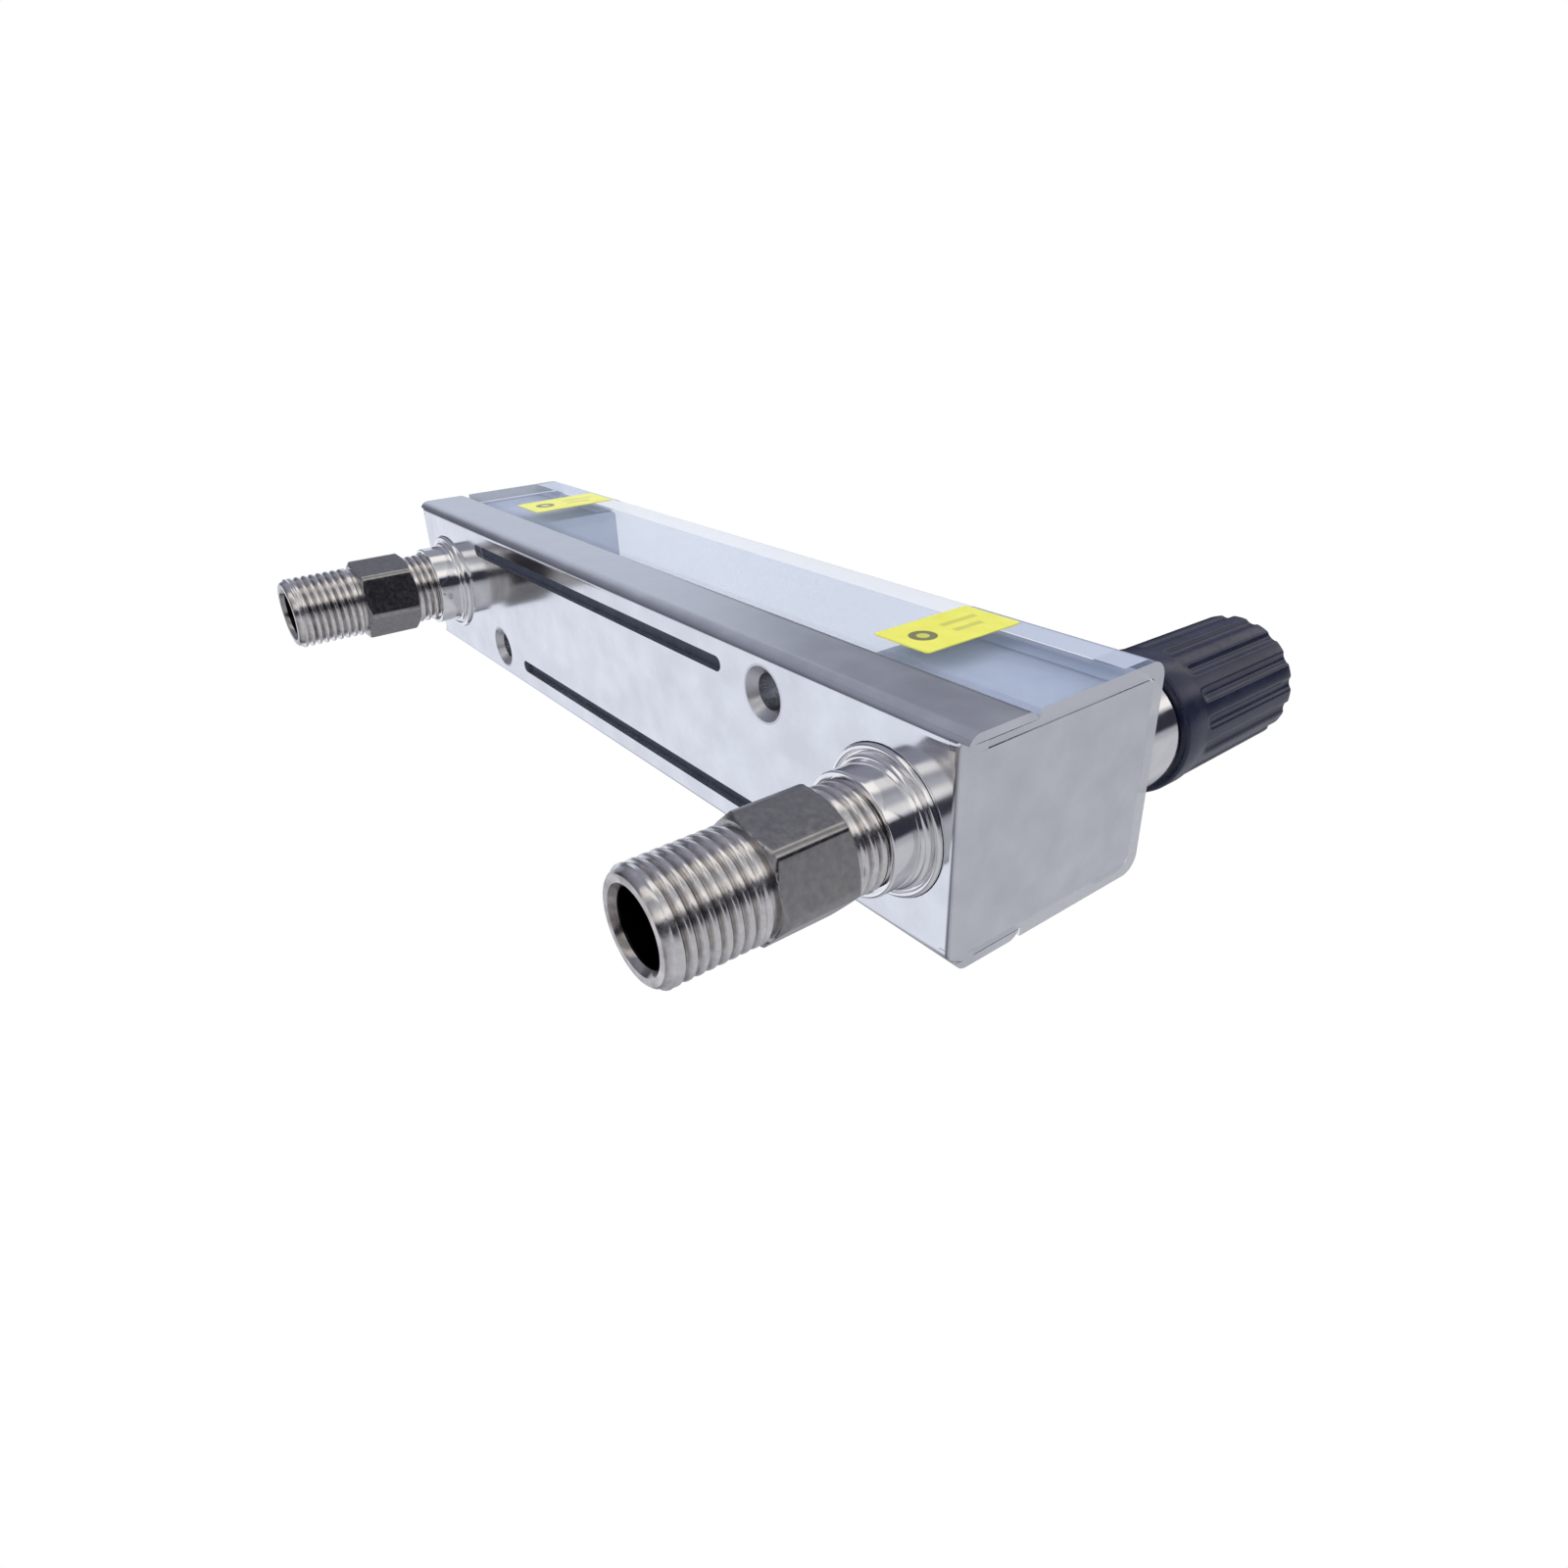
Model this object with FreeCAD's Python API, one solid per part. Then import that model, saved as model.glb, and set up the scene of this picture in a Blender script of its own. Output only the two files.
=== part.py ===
"""Short panel rotameter: a folded steel frame, a clear cover, a tapered glass tube and a needle valve.

The frame of reference: +Z runs up along the metering tube, with Z = 0 on the lower end plate's outer face.
+Y points out of the back plate, where the two nipples are.  -Y points out of the valve knob.
All sizes are millimetres.
"""
import FreeCAD, Part
import math
import os

os.makedirs("parts", exist_ok=True)
V = FreeCAD.Vector

# Housing
housing_width = 29.0
housing_depth = 33.0
housing_height = 156.0
sheet = 1.1
bend_radius = 1.8
flange_depth = 10.7
cover_wall = 2.0
cover_corner = 2.5
slide_gap = 0.1
seat_gap = 0.3
relief_depth = 2.6
end_corner = 1.0
port_offset = 12.0
overcut = 1.0

# Back plate
slot_edge = 1.8
slot_width = 2.2
slot_start = 43.8
slot_finish = 28.2
nut_margin = 2.0
nut_thread_radius = 2.5
nut_barrel_radius = 3.7
nut_rim_step = 0.3
nut_land = 0.3
nut_length = 8.0
nut_collar = 1.6
nut_collar_edge = 0.4

# End blocks
block_length = 27.4
block_edge = 0.6
passage_radius = 3.5
riser_radius = 1.8
riser_offset = 3.5

# Pipe connection
port_wall = 0.4
shank_radius = 6.5
washer_step = 1.1
washer_rise = 0.15
ring_step = 0.7
ring_height = 0.7
socket_wall = 0.92
socket_height = 5.2
socket_floor = 0.2
socket_groove = 0.35
socket_groove_width = 0.5
socket_lip = 1.2
socket_edge = 0.3
socket_mouth = 0.2
nipple_thread_radius = 6.58
hex_step = 0.42
hex_face_edge = 0.1
hex_chamfer_angle = 30.0
hex_turn = 16.0
hex_length = 6.4
hex_standoff = 3.6
nipple_reach = 32.5
nipple_bore = 4.2
nipple_chamfer = 0.8
face_seal = 1.0

# Metering tube
tube_radius = 6.0
tube_bore_low = 4.0
tube_bore_high = 5.0
tube_seat_depth = 8.0
gland_wall = 0.4
gland_height = 4.0
gland_notch_width = 1.6
gland_notch_depth = 1.2
ring_cord = 1.1
stop_height = 2.0
stop_rim = 0.4
stop_pin_radius = 0.8
stop_pin_height = 5.0
stop_holes = 3
stop_hole_radius = 0.9
float_gap = 0.35
float_length = 12.0
float_point_radius = 0.8
plug_radius = 7.0
plug_height = 9.0
plug_edge = 0.6
plug_groove_depth = 1.2
plug_groove_width = 2.0
plug_groove_lift = 2.0
plug_key_across = 6.0
plug_key_depth = 4.0

# Valve
knob_lift = 0.3
bonnet_shank_radius = 6.0
bonnet_shank_length = 8.0
bonnet_neck_radius = 6.9
bonnet_shoulder = 1.0
bonnet_edge = 0.4
collar_radius = 8.8
collar_length = 7.3
collar_edge = 0.4
collar_hole_radius = 0.7
collar_hole_depth = 0.8
cover_washer = 0.8
cover_washer_inset = 0.8
bonnet_nose_radius = 5.2
bonnet_nose_length = 2.4
spindle_radius = 3.0
running_gap = 0.05
spindle_seal_cord = 0.8
spindle_seal_setback = 2.0
spindle_edge = 0.4
spindle_flange_gap = 0.3
spindle_flange = 1.5
guide_radius = 4.5
guide_length = 3.6
needle_radius = 2.0
needle_travel = 2.5
needle_cone_back = 2.2
needle_cone_reach = 0.6
needle_point_reach = 1.4
needle_point = 0.3
tang_width = 3.6
tang_thickness = 1.0
tang_length = 4.6
chamber_radius = 4.0
chamber_length = 5.2
valve_seat_radius = 3.5
valve_seat_length = 2.5
orifice_radius = 1.25
seat_mouth = 1.0
needle_tip_radius = 0.85

# Knob
knob_gap = 0.4
knob_length = 26.3
skirt_length = 5.0
skirt_radius = 9.7
skirt_edge = 0.5
skirt_cone = 2.0
grip_radius = 9.5
grip_nose_radius = 9.3
knob_chamfer = 1.0
flute_count = 16
flute_radius = 1.3
flute_depth = 0.45
knob_recess_radius = 6.0
knob_recess_depth = 4.0
knob_nose_wall = 6.0
knob_screw_radius = 1.5
knob_screw_setback = 7.5
knob_screw_angle = -20.0
knob_screw_sink = 2.0
knob_screw_key_depth = 1.5

# Labels on the cover's side
label_film = 0.15
label_width = 16.7
label_height = 9.6
label_corner = 0.5
label_front = 0.8
label_foot = 19.3

half_width = housing_width / 2
rear = housing_depth / 2
front = -housing_depth / 2
plate_inner = rear - sheet
cover_inner = half_width - cover_wall
end_half = cover_inner - slide_gap
front_inner = front + cover_wall
slot_side = cover_inner - slot_edge - slot_width / 2
block_front = front_inner + seat_gap
block_low_top = sheet + block_length
nut_rim_radius = nut_barrel_radius + nut_rim_step
nut_mouth_radius = nut_rim_radius - nut_land
nut_side = cover_inner - slide_gap - nut_rim_radius
nut_height = block_low_top + nut_margin + nut_rim_radius
top_port = housing_height - port_offset
shank_end = plug_radius + port_wall
socket_radius = nipple_thread_radius + socket_wall
ring_radius = socket_radius + ring_step
washer_radius = ring_radius + washer_step
hex_across_flats = 2 * (nipple_thread_radius + hex_step)
gland_radius = tube_radius + 2 * ring_cord + gland_wall
float_radius = tube_bore_low - float_gap
valve_height = skirt_radius + knob_lift
spindle_flange_radius = guide_radius - spindle_flange_gap
tube_low = block_low_top - tube_seat_depth + slide_gap
tube_high = housing_height - tube_low
collar_rear = front - cover_washer
collar_front = collar_rear - collar_length
bonnet_rear = block_front + bonnet_shank_length
spindle_seat = bonnet_rear - guide_length
needle_shoulder = spindle_seat + slide_gap


def box(x0, x1, y0, y1, z0, z1):
    return Part.makeBox(x1 - x0, y1 - y0, z1 - z0, V(x0, y0, z0))


def rod_y(radius, y0, y1, z, x=0.0):
    return Part.makeCylinder(radius, y1 - y0, V(x, y0, z), V(0, 1, 0))


def rod_z(radius, z0, z1, x=0.0, y=0.0):
    return Part.makeCylinder(radius, z1 - z0, V(x, y, z0), V(0, 0, 1))


def turned_y(profile, z):
    """Revolve (radius, y) points about the line x = 0 at height z."""
    points = [V(r, y, z) for r, y in profile]
    face = Part.Face(Part.makePolygon(points + points[:1]))
    return face.revolve(V(0, 0, z), V(0, 1, 0), 360)


def turned_z(profile):
    """Revolve (radius, z) points about the tube's axis."""
    points = [V(r, 0, z) for r, z in profile]
    face = Part.Face(Part.makePolygon(points + points[:1]))
    return face.revolve(V(0, 0, 0), V(0, 0, 1), 360)


def half_turn(shape):
    """The same shape at the other end of the housing, turned about the Y axis through its middle."""
    copy = shape.copy()
    copy.rotate(V(0, 0, housing_height / 2), V(0, 1, 0), 180)
    return copy


def edges_along(shape, axis, keep):
    """Straight edges parallel to an axis whose middle passes the keep test."""
    found = []
    for edge in shape.Edges:
        if not isinstance(edge.Curve, Part.Line):
            continue
        step = edge.Vertexes[1].Point - edge.Vertexes[0].Point
        if abs(abs(step.normalize().dot(axis)) - 1) < 1e-6 and keep(edge.CenterOfMass):
            found.append(edge)
    return found


def slot(side, z0, z1):
    """An obround slot through the back plate."""
    r = slot_width / 2
    y0 = plate_inner - overcut
    y1 = rear + overcut
    body = box(side - r, side + r, y0, y1, z0 + r, z1 - r)
    for z in (z0 + r, z1 - r):
        body = body.fuse(rod_y(r, y0, y1, z, side))
    return body


def frame_channel():
    """Back plate with its two side flanges, folded along the housing."""
    y_open = rear - flange_depth
    outer = box(-half_width, half_width, y_open, rear, slide_gap, housing_height - slide_gap)
    outer = outer.makeFillet(bend_radius, edges_along(outer, V(0, 0, 1), lambda c: c.y > 0))
    x_in = half_width - sheet
    inner = box(-x_in, x_in, y_open - overcut, plate_inner, -overcut, housing_height + overcut)
    folds = edges_along(inner, V(0, 0, 1), lambda c: c.y > 0)
    return outer.cut(inner.makeFillet(bend_radius - sheet, folds))


def frame_ends():
    """Back plate with its two end plates, folded across the housing."""
    y_open = front + cover_wall + slide_gap
    outer = box(-end_half, end_half, y_open, rear, 0, housing_height)
    outer = outer.makeFillet(bend_radius, edges_along(outer, V(1, 0, 0), lambda c: c.y > 0))
    outer = outer.makeFillet(end_corner, edges_along(outer, V(0, 0, 1), lambda c: c.y < 0))
    z_in = housing_height - sheet
    inner = box(-end_half - overcut, end_half + overcut, y_open - overcut, plate_inner, sheet, z_in)
    folds = edges_along(inner, V(1, 0, 0), lambda c: c.y > 0)
    return outer.cut(inner.makeFillet(bend_radius - sheet, folds))


def back_frame():
    channel = frame_channel()
    x_in = half_width - sheet
    relief = box(-x_in, x_in, plate_inner - bend_radius, rear + overcut, -overcut, relief_depth)
    frame = channel.cut(relief).cut(half_turn(relief)).fuse(frame_ends())
    for z in (port_offset, top_port):
        frame = frame.cut(rod_y(washer_radius + slide_gap, plate_inner - overcut, rear + overcut, z))
    way = slot(-slot_side, slot_start, housing_height - slot_finish)
    frame = frame.cut(way).cut(half_turn(way))
    for x, z in ((-nut_side, nut_height), (nut_side, housing_height - nut_height)):
        frame = frame.cut(turned_at(nut_pocket(), x, z))
    return frame.removeSplitter()


def turned_at(profile, x, z):
    """A piece turned about a line along Y through (x, z)."""
    piece = turned_y(profile, z)
    piece.translate(V(x, 0, 0))
    return piece


def nut_pocket():
    """Countersunk hole in the back plate that a rivet nut fills."""
    return (
        (0, plate_inner - overcut),
        (nut_barrel_radius, plate_inner - overcut),
        (nut_barrel_radius, rear - nut_rim_step),
        (nut_rim_radius, rear),
        (nut_rim_radius, rear + overcut),
        (0, rear + overcut),
    )


def mount_nut(x, z):
    """Rivet nut: flush conical rim, straight barrel, upset collar behind the sheet, threaded bore."""
    y_end = rear - nut_length
    y_thread = rear - (nut_mouth_radius - nut_thread_radius)
    profile = (
        (nut_thread_radius, y_end),
        (nut_barrel_radius, y_end),
        (nut_barrel_radius, plate_inner - nut_collar),
        (nut_rim_radius, plate_inner - nut_collar + nut_collar_edge),
        (nut_rim_radius, plate_inner - nut_collar_edge),
        (nut_barrel_radius, plate_inner),
        (nut_barrel_radius, rear - nut_rim_step),
        (nut_rim_radius, rear),
        (nut_mouth_radius, rear),
        (nut_thread_radius, y_thread),
    )
    return turned_at(profile, x, z)


def clear_cover():
    """Acrylic channel: front wall, two side walls, and thin rear lips that slide under the flanges."""
    y_shoulder = rear - flange_depth - slide_gap
    z0 = slide_gap
    z1 = housing_height - slide_gap
    outer = box(-half_width, half_width, front, y_shoulder, z0, z1)
    outer = outer.makeFillet(cover_corner, edges_along(outer, V(0, 0, 1), lambda c: c.y < 0))
    x_lip = half_width - sheet - slide_gap
    lip = box(-x_lip, x_lip, y_shoulder, rear - relief_depth, z0, z1)
    inner = box(-cover_inner, cover_inner, front_inner, rear + overcut, -overcut, housing_height + overcut)
    inner_corner = cover_corner - cover_wall
    inner = inner.makeFillet(inner_corner, edges_along(inner, V(0, 0, 1), lambda c: c.y < 0))
    cover = outer.fuse(lip).cut(inner)
    hole = rod_y(bonnet_neck_radius + seat_gap, front - overcut, front_inner + overcut, valve_height)
    cover = cover.cut(hole)
    return cover.removeSplitter()


def side_label(z):
    """Thin film with rounded corners on the cover's side wall, with its lower edge at z."""
    y0 = front_inner + label_front
    film = box(-half_width - label_film, -half_width, y0, y0 + label_width, z, z + label_height)
    return film.makeFillet(label_corner, edges_along(film, V(1, 0, 0), lambda c: True))


def end_block():
    """Machined block at one end: tube pocket, gland bore, pipe port, and an edge eased for the fold."""
    x = cover_inner - seat_gap
    body = box(-x, x, block_front, plate_inner, sheet, block_low_top)
    fold = edges_along(body, V(1, 0, 0), lambda c: c.y > 0 and c.z < port_offset)
    body = body.makeChamfer(bend_radius, fold)
    body = body.makeChamfer(block_edge, edges_along(body, V(0, 0, 1), lambda c: True))
    gland_low = block_low_top - gland_height - 2 * ring_cord - slide_gap
    body = body.cut(rod_z(tube_radius + seat_gap, tube_low - slide_gap, block_low_top + overcut))
    body = body.cut(rod_z(gland_radius, gland_low, block_low_top + overcut))
    return body.cut(rod_y(shank_radius, shank_end, rear, port_offset))


def inlet_block():
    """Lower block: port, valve orifice and needle chamber in line, and a riser from there to the tube."""
    chamber_rear = bonnet_rear + chamber_length
    seat_rear = chamber_rear + valve_seat_length
    body = end_block()
    body = body.cut(rod_y(bonnet_shank_radius, block_front - overcut, bonnet_rear, valve_height))
    body = body.cut(rod_y(chamber_radius, bonnet_rear - overcut, chamber_rear, valve_height))
    body = body.cut(rod_y(valve_seat_radius, chamber_rear - overcut, seat_rear, valve_height))
    body = body.cut(rod_y(passage_radius, seat_rear, plate_inner - overcut, port_offset))
    body = body.cut(rod_z(riser_radius, valve_height, tube_low, 0, -riser_offset))
    return body.removeSplitter()


def outlet_block():
    """Upper block: the tube opens straight into the port, under a screwed plug on the tube's axis."""
    body = end_block()
    body = body.cut(rod_y(passage_radius, -riser_radius, plate_inner - overcut, port_offset))
    body = body.cut(rod_z(passage_radius, port_offset, tube_low))
    body = body.cut(rod_z(plug_radius, 0, plug_height + sheet))
    return half_turn(body.removeSplitter())


def top_plug():
    """Screwed plug that closes the tube's insertion bore, with a hexagon key socket and a ring groove."""
    z_top = housing_height - sheet
    z_low = z_top - plug_height + slide_gap
    z_groove = z_top - plug_height + plug_groove_lift
    neck = plug_radius - plug_groove_depth
    profile = (
        (0, z_low),
        (plug_radius - plug_edge, z_low),
        (plug_radius, z_low + plug_edge),
        (plug_radius, z_groove),
        (neck, z_groove),
        (neck, z_groove + plug_groove_width),
        (plug_radius, z_groove + plug_groove_width),
        (plug_radius, z_top - seat_gap),
        (0, z_top - seat_gap),
    )
    key = hexagon_z(plug_key_across, z_top - plug_key_depth, z_top + overcut)
    return turned_z(profile).cut(key)


def top_plug_seal():
    """Ring seal in the plug's groove."""
    z_groove = housing_height - sheet - plug_height + plug_groove_lift
    cord = plug_groove_depth / 2
    return Part.makeTorus(plug_radius - cord, cord - running_gap, V(0, 0, z_groove + plug_groove_width / 2))


def hexagon_z(across, z0, z1):
    """Hexagon prism on the tube's axis."""
    radius = across / math.sqrt(3)
    points = [V(radius * math.cos(i * math.pi / 3), radius * math.sin(i * math.pi / 3), z0) for i in range(6)]
    return Part.Face(Part.makePolygon(points + points[:1])).extrude(V(0, 0, z1 - z0))


def port_washer():
    """Plain ring that fills the back plate's port hole under the socket's shoulder."""
    outer = rod_y(washer_radius, plate_inner, rear + washer_rise, port_offset)
    return outer.cut(rod_y(shank_radius + seat_gap, plate_inner - overcut, rear + overcut, port_offset))


def port_seal():
    """Flat ring at the bottom of the socket's bore."""
    y1 = shank_end + face_seal
    outer = rod_y(shank_radius - slide_gap, shank_end, y1, port_offset)
    return outer.cut(rod_y(passage_radius, shank_end - overcut, y1 + overcut, port_offset))


def port_socket():
    """Turned socket: screwed shank, shoulder ring, plain barrel with a lip, and a bore for the nipple."""
    y_shank = shank_end + face_seal
    y_ring = rear + washer_rise
    y_end = rear + socket_height
    y_floor = rear + socket_floor
    y_lip = y_end - socket_lip
    neck = socket_radius - socket_groove
    profile = (
        (passage_radius, y_shank),
        (shank_radius, y_shank),
        (shank_radius, y_ring),
        (ring_radius, y_ring),
        (ring_radius, y_ring + ring_height),
        (socket_radius, y_ring + ring_height),
        (socket_radius, y_lip - socket_groove_width),
        (neck, y_lip - socket_mouth),
        (neck, y_lip),
        (socket_radius, y_lip + socket_mouth),
        (socket_radius, y_end - socket_edge),
        (socket_radius - socket_edge, y_end),
        (nipple_thread_radius + socket_mouth, y_end),
        (nipple_thread_radius, y_end - socket_mouth),
        (nipple_thread_radius, y_floor),
        (passage_radius, y_floor),
    )
    return turned_y(profile, port_offset)


def hex_bar(y0, y1):
    """Hexagon bar along Y with both ends turned to a chamfer."""
    radius = hex_across_flats / math.sqrt(3)
    angles = [math.pi / 3 * i - math.radians(hex_turn) for i in range(6)]
    points = [V(radius * math.cos(a), y0, port_offset + radius * math.sin(a)) for a in angles]
    bar = Part.Face(Part.makePolygon(points + points[:1])).extrude(V(0, y1 - y0, 0))
    face = hex_across_flats / 2 - hex_face_edge
    fall = (radius - face) * math.tan(math.radians(hex_chamfer_angle))
    blank = turned_y(
        ((0, y0), (face, y0), (radius, y0 + fall), (radius, y1 - fall), (face, y1), (0, y1)), port_offset
    )
    return bar.common(blank)


def pipe_nipple():
    """Hexagon nipple: an inner thread in the socket, a hexagon, and the outer pipe thread."""
    y_in = rear + socket_floor + slide_gap
    y_hex = rear + socket_height + hex_standoff
    y_out = y_hex + hex_length
    y_tip = rear + nipple_reach
    r = nipple_thread_radius
    core = turned_y(
        (
            (nipple_bore, y_in),
            (r - nipple_chamfer, y_in),
            (r, y_in + nipple_chamfer),
            (r, y_tip - nipple_chamfer),
            (r - nipple_chamfer, y_tip),
            (nipple_bore + nipple_chamfer, y_tip),
            (nipple_bore, y_tip - nipple_chamfer),
        ),
        port_offset,
    )
    way = rod_y(nipple_bore, y_hex - overcut, y_out + overcut, port_offset)
    return core.fuse(hex_bar(y_hex, y_out).cut(way)).removeSplitter()


def glass_tube():
    """Round outside, bore widening evenly towards the top."""
    return turned_z(
        (
            (tube_bore_low, tube_low),
            (tube_radius, tube_low),
            (tube_radius, tube_high),
            (tube_bore_high, tube_high),
        )
    )


def tube_gland():
    """Threaded ring that presses the seal round the tube's lower end, with two spanner notches."""
    z0 = block_low_top - gland_height
    z1 = block_low_top
    ring = rod_z(gland_radius, z0, z1).cut(rod_z(tube_radius + seat_gap, z0 - overcut, z1 + overcut))
    x = gland_radius + overcut
    y = gland_notch_width / 2
    return ring.cut(box(-x, x, -y, y, z1 - gland_notch_depth, z1 + overcut))


def tube_seal():
    """Ring seal between the tube and the block, under the gland."""
    major = tube_radius + ring_cord + running_gap
    return Part.makeTorus(major, ring_cord - running_gap, V(0, 0, block_low_top - gland_height - ring_cord))


def float_stop(bore):
    """Pierced disc in the tube's end with a central pin that catches the float."""
    z0 = tube_low + slide_gap
    disc = rod_z(bore - slide_gap, z0, z0 + stop_height)
    reach = bore - slide_gap - stop_hole_radius - stop_rim
    for i in range(stop_holes):
        angle = 2 * math.pi * (i + 0.25) / stop_holes
        x = reach * math.cos(angle)
        y = reach * math.sin(angle)
        disc = disc.cut(rod_z(stop_hole_radius, z0 - overcut, z0 + stop_height + overcut, x, y))
    return disc.fuse(rod_z(stop_pin_radius, z0, z0 + stop_pin_height)).removeSplitter()


def float_body():
    """Turned float: pointed weight, waist, and a sharp-edged metering head."""
    z0 = tube_low + slide_gap + stop_pin_height + seat_gap
    r = float_radius
    return turned_z(
        (
            (0, z0),
            (float_point_radius, z0),
            (0.8 * r, z0 + 0.35 * float_length),
            (0.8 * r, z0 + 0.55 * float_length),
            (0.45 * r, z0 + 0.62 * float_length),
            (0.45 * r, z0 + 0.75 * float_length),
            (r, z0 + 0.85 * float_length),
            (r, z0 + 0.9 * float_length),
            (0.5 * r, z0 + float_length),
            (0, z0 + float_length),
        )
    )


def valve_seat():
    """Pressed-in seat with a conical mouth towards the needle."""
    y0 = bonnet_rear + chamber_length
    y1 = y0 + valve_seat_length
    return turned_y(
        (
            (orifice_radius + seat_mouth, y0),
            (valve_seat_radius, y0),
            (valve_seat_radius, y1),
            (orifice_radius, y1),
            (orifice_radius, y0 + seat_mouth),
        ),
        valve_height,
    )


def valve_bonnet():
    """Screwed valve body: shank in the block, threaded neck through the cover, nose inside the knob."""
    bore = spindle_radius + running_gap
    y_nose = collar_front - bonnet_nose_length
    y_pocket = spindle_seat - spindle_flange - 2 * slide_gap
    y_groove = collar_front + spindle_seal_setback
    groove = bore + 2 * spindle_seal_cord + 2 * running_gap
    half = spindle_seal_cord + 2 * slide_gap
    return turned_y(
        (
            (guide_radius, bonnet_rear),
            (bonnet_shank_radius, bonnet_rear),
            (bonnet_shank_radius, block_front),
            (bonnet_neck_radius, block_front),
            (bonnet_neck_radius, collar_front + bonnet_shoulder),
            (bonnet_nose_radius, collar_front + bonnet_shoulder),
            (bonnet_nose_radius, y_nose + bonnet_edge),
            (bonnet_nose_radius - bonnet_edge, y_nose),
            (bore, y_nose),
            (bore, y_groove - half),
            (groove, y_groove - half),
            (groove, y_groove + half),
            (bore, y_groove + half),
            (bore, y_pocket),
            (guide_radius, y_pocket),
        ),
        valve_height,
    )


def spindle_seal():
    """Ring seal in the bonnet's groove round the spindle."""
    major = spindle_radius + 2 * running_gap + spindle_seal_cord
    centre = V(0, collar_front + spindle_seal_setback, valve_height)
    return Part.makeTorus(major, spindle_seal_cord, centre, V(0, 1, 0))


def cover_seal():
    """Flat ring between the cover and the collar."""
    outer = rod_y(collar_radius - cover_washer_inset, collar_rear, front, valve_height)
    inner = rod_y(bonnet_neck_radius + slide_gap, collar_rear - overcut, front + overcut, valve_height)
    return outer.cut(inner)


def valve_collar():
    """Round nut on the bonnet's neck, with turned edges and two spanner holes in its front face."""
    edge = collar_edge
    inner = bonnet_neck_radius
    y_shoulder = collar_front + bonnet_shoulder - slide_gap
    ring = turned_y(
        (
            (inner, collar_rear),
            (collar_radius - edge, collar_rear),
            (collar_radius, collar_rear - edge),
            (collar_radius, collar_front + edge),
            (collar_radius - edge, collar_front),
            (bonnet_nose_radius + slide_gap, collar_front),
            (bonnet_nose_radius + slide_gap, y_shoulder),
            (inner, y_shoulder),
        ),
        valve_height,
    )
    reach = (collar_radius + bonnet_nose_radius) / 2
    for side in (-reach, reach):
        y1 = collar_front + collar_hole_depth
        ring = ring.cut(rod_y(collar_hole_radius, collar_front - overcut, y1, valve_height, side))
    return ring


def needle_guide():
    """Threaded bush in the bonnet's inner end that guides the needle and keeps the spindle in."""
    bush = rod_y(guide_radius, spindle_seat + slide_gap, bonnet_rear, valve_height)
    way = rod_y(needle_radius + running_gap, spindle_seat - overcut, bonnet_rear + overcut, valve_height)
    return bush.cut(way)


def valve_spindle():
    """Spindle that turns with the knob without rising, with a flat pocket that drives the needle's tang."""
    y_tip = collar_front - knob_gap - knob_length + knob_nose_wall
    shaft = turned_y(
        (
            (0, spindle_seat - slide_gap),
            (spindle_flange_radius, spindle_seat - slide_gap),
            (spindle_flange_radius, spindle_seat - spindle_flange - slide_gap),
            (spindle_radius, spindle_seat - spindle_flange - slide_gap),
            (spindle_radius, y_tip + spindle_edge),
            (spindle_radius - spindle_edge, y_tip),
            (0, y_tip),
        ),
        valve_height,
    )
    w = tang_width / 2 + slide_gap
    t = tang_thickness / 2 + slide_gap
    depth = tang_length + needle_travel + seat_gap
    y_end = spindle_seat + overcut
    pocket = box(-w, w, spindle_seat - depth, y_end, valve_height - t, valve_height + t)
    y_stem = spindle_seat - needle_travel - seat_gap
    return shaft.cut(pocket).cut(rod_y(needle_radius + slide_gap, y_stem, y_end, valve_height))


def valve_needle():
    """Needle with a round stem in the guide, a long cone at the seat and a flat tang in the spindle."""
    y_seat = bonnet_rear + chamber_length
    stem = turned_y(
        (
            (0, needle_shoulder),
            (needle_radius, needle_shoulder),
            (needle_radius, y_seat - needle_cone_back),
            (needle_tip_radius, y_seat + needle_cone_reach),
            (needle_tip_radius - needle_point, y_seat + needle_point_reach),
            (0, y_seat + needle_point_reach),
        ),
        valve_height,
    )
    w = tang_width / 2
    t = tang_thickness / 2
    y0 = spindle_seat - tang_length
    tang = box(-w, w, y0, needle_shoulder + overcut, valve_height - t, valve_height + t)
    return stem.fuse(tang).removeSplitter()


def knob():
    """Moulded grip: smooth skirt, short cone, fluted grip with a chamfered nose, and a hollow rear."""
    y0 = collar_front - knob_gap
    y_grip = y0 - skirt_length
    y_nose = y0 - knob_length
    y_bore = y_nose + knob_nose_wall - seat_gap
    bore = spindle_radius + running_gap
    body = turned_y(
        (
            (knob_recess_radius, y0),
            (skirt_radius - skirt_edge, y0),
            (skirt_radius, y0 - skirt_edge),
            (skirt_radius, y_grip + skirt_cone),
            (grip_radius, y_grip),
            (grip_nose_radius, y_nose + knob_chamfer),
            (grip_nose_radius - knob_chamfer, y_nose),
            (0, y_nose),
            (0, y_bore),
            (bore, y_bore),
            (bore, y0 - knob_recess_depth),
            (knob_recess_radius, y0 - knob_recess_depth),
        ),
        valve_height,
    )
    reach = grip_radius + flute_radius - flute_depth
    for i in range(flute_count):
        angle = 2 * math.pi * (i + 0.5) / flute_count
        x = reach * math.cos(angle)
        z = valve_height + reach * math.sin(angle)
        body = body.cut(rod_y(flute_radius, y_nose - overcut, y_grip, z, x))
    return body.cut(knob_screw_path(knob_screw_radius, spindle_radius, grip_radius + overcut))


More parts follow.
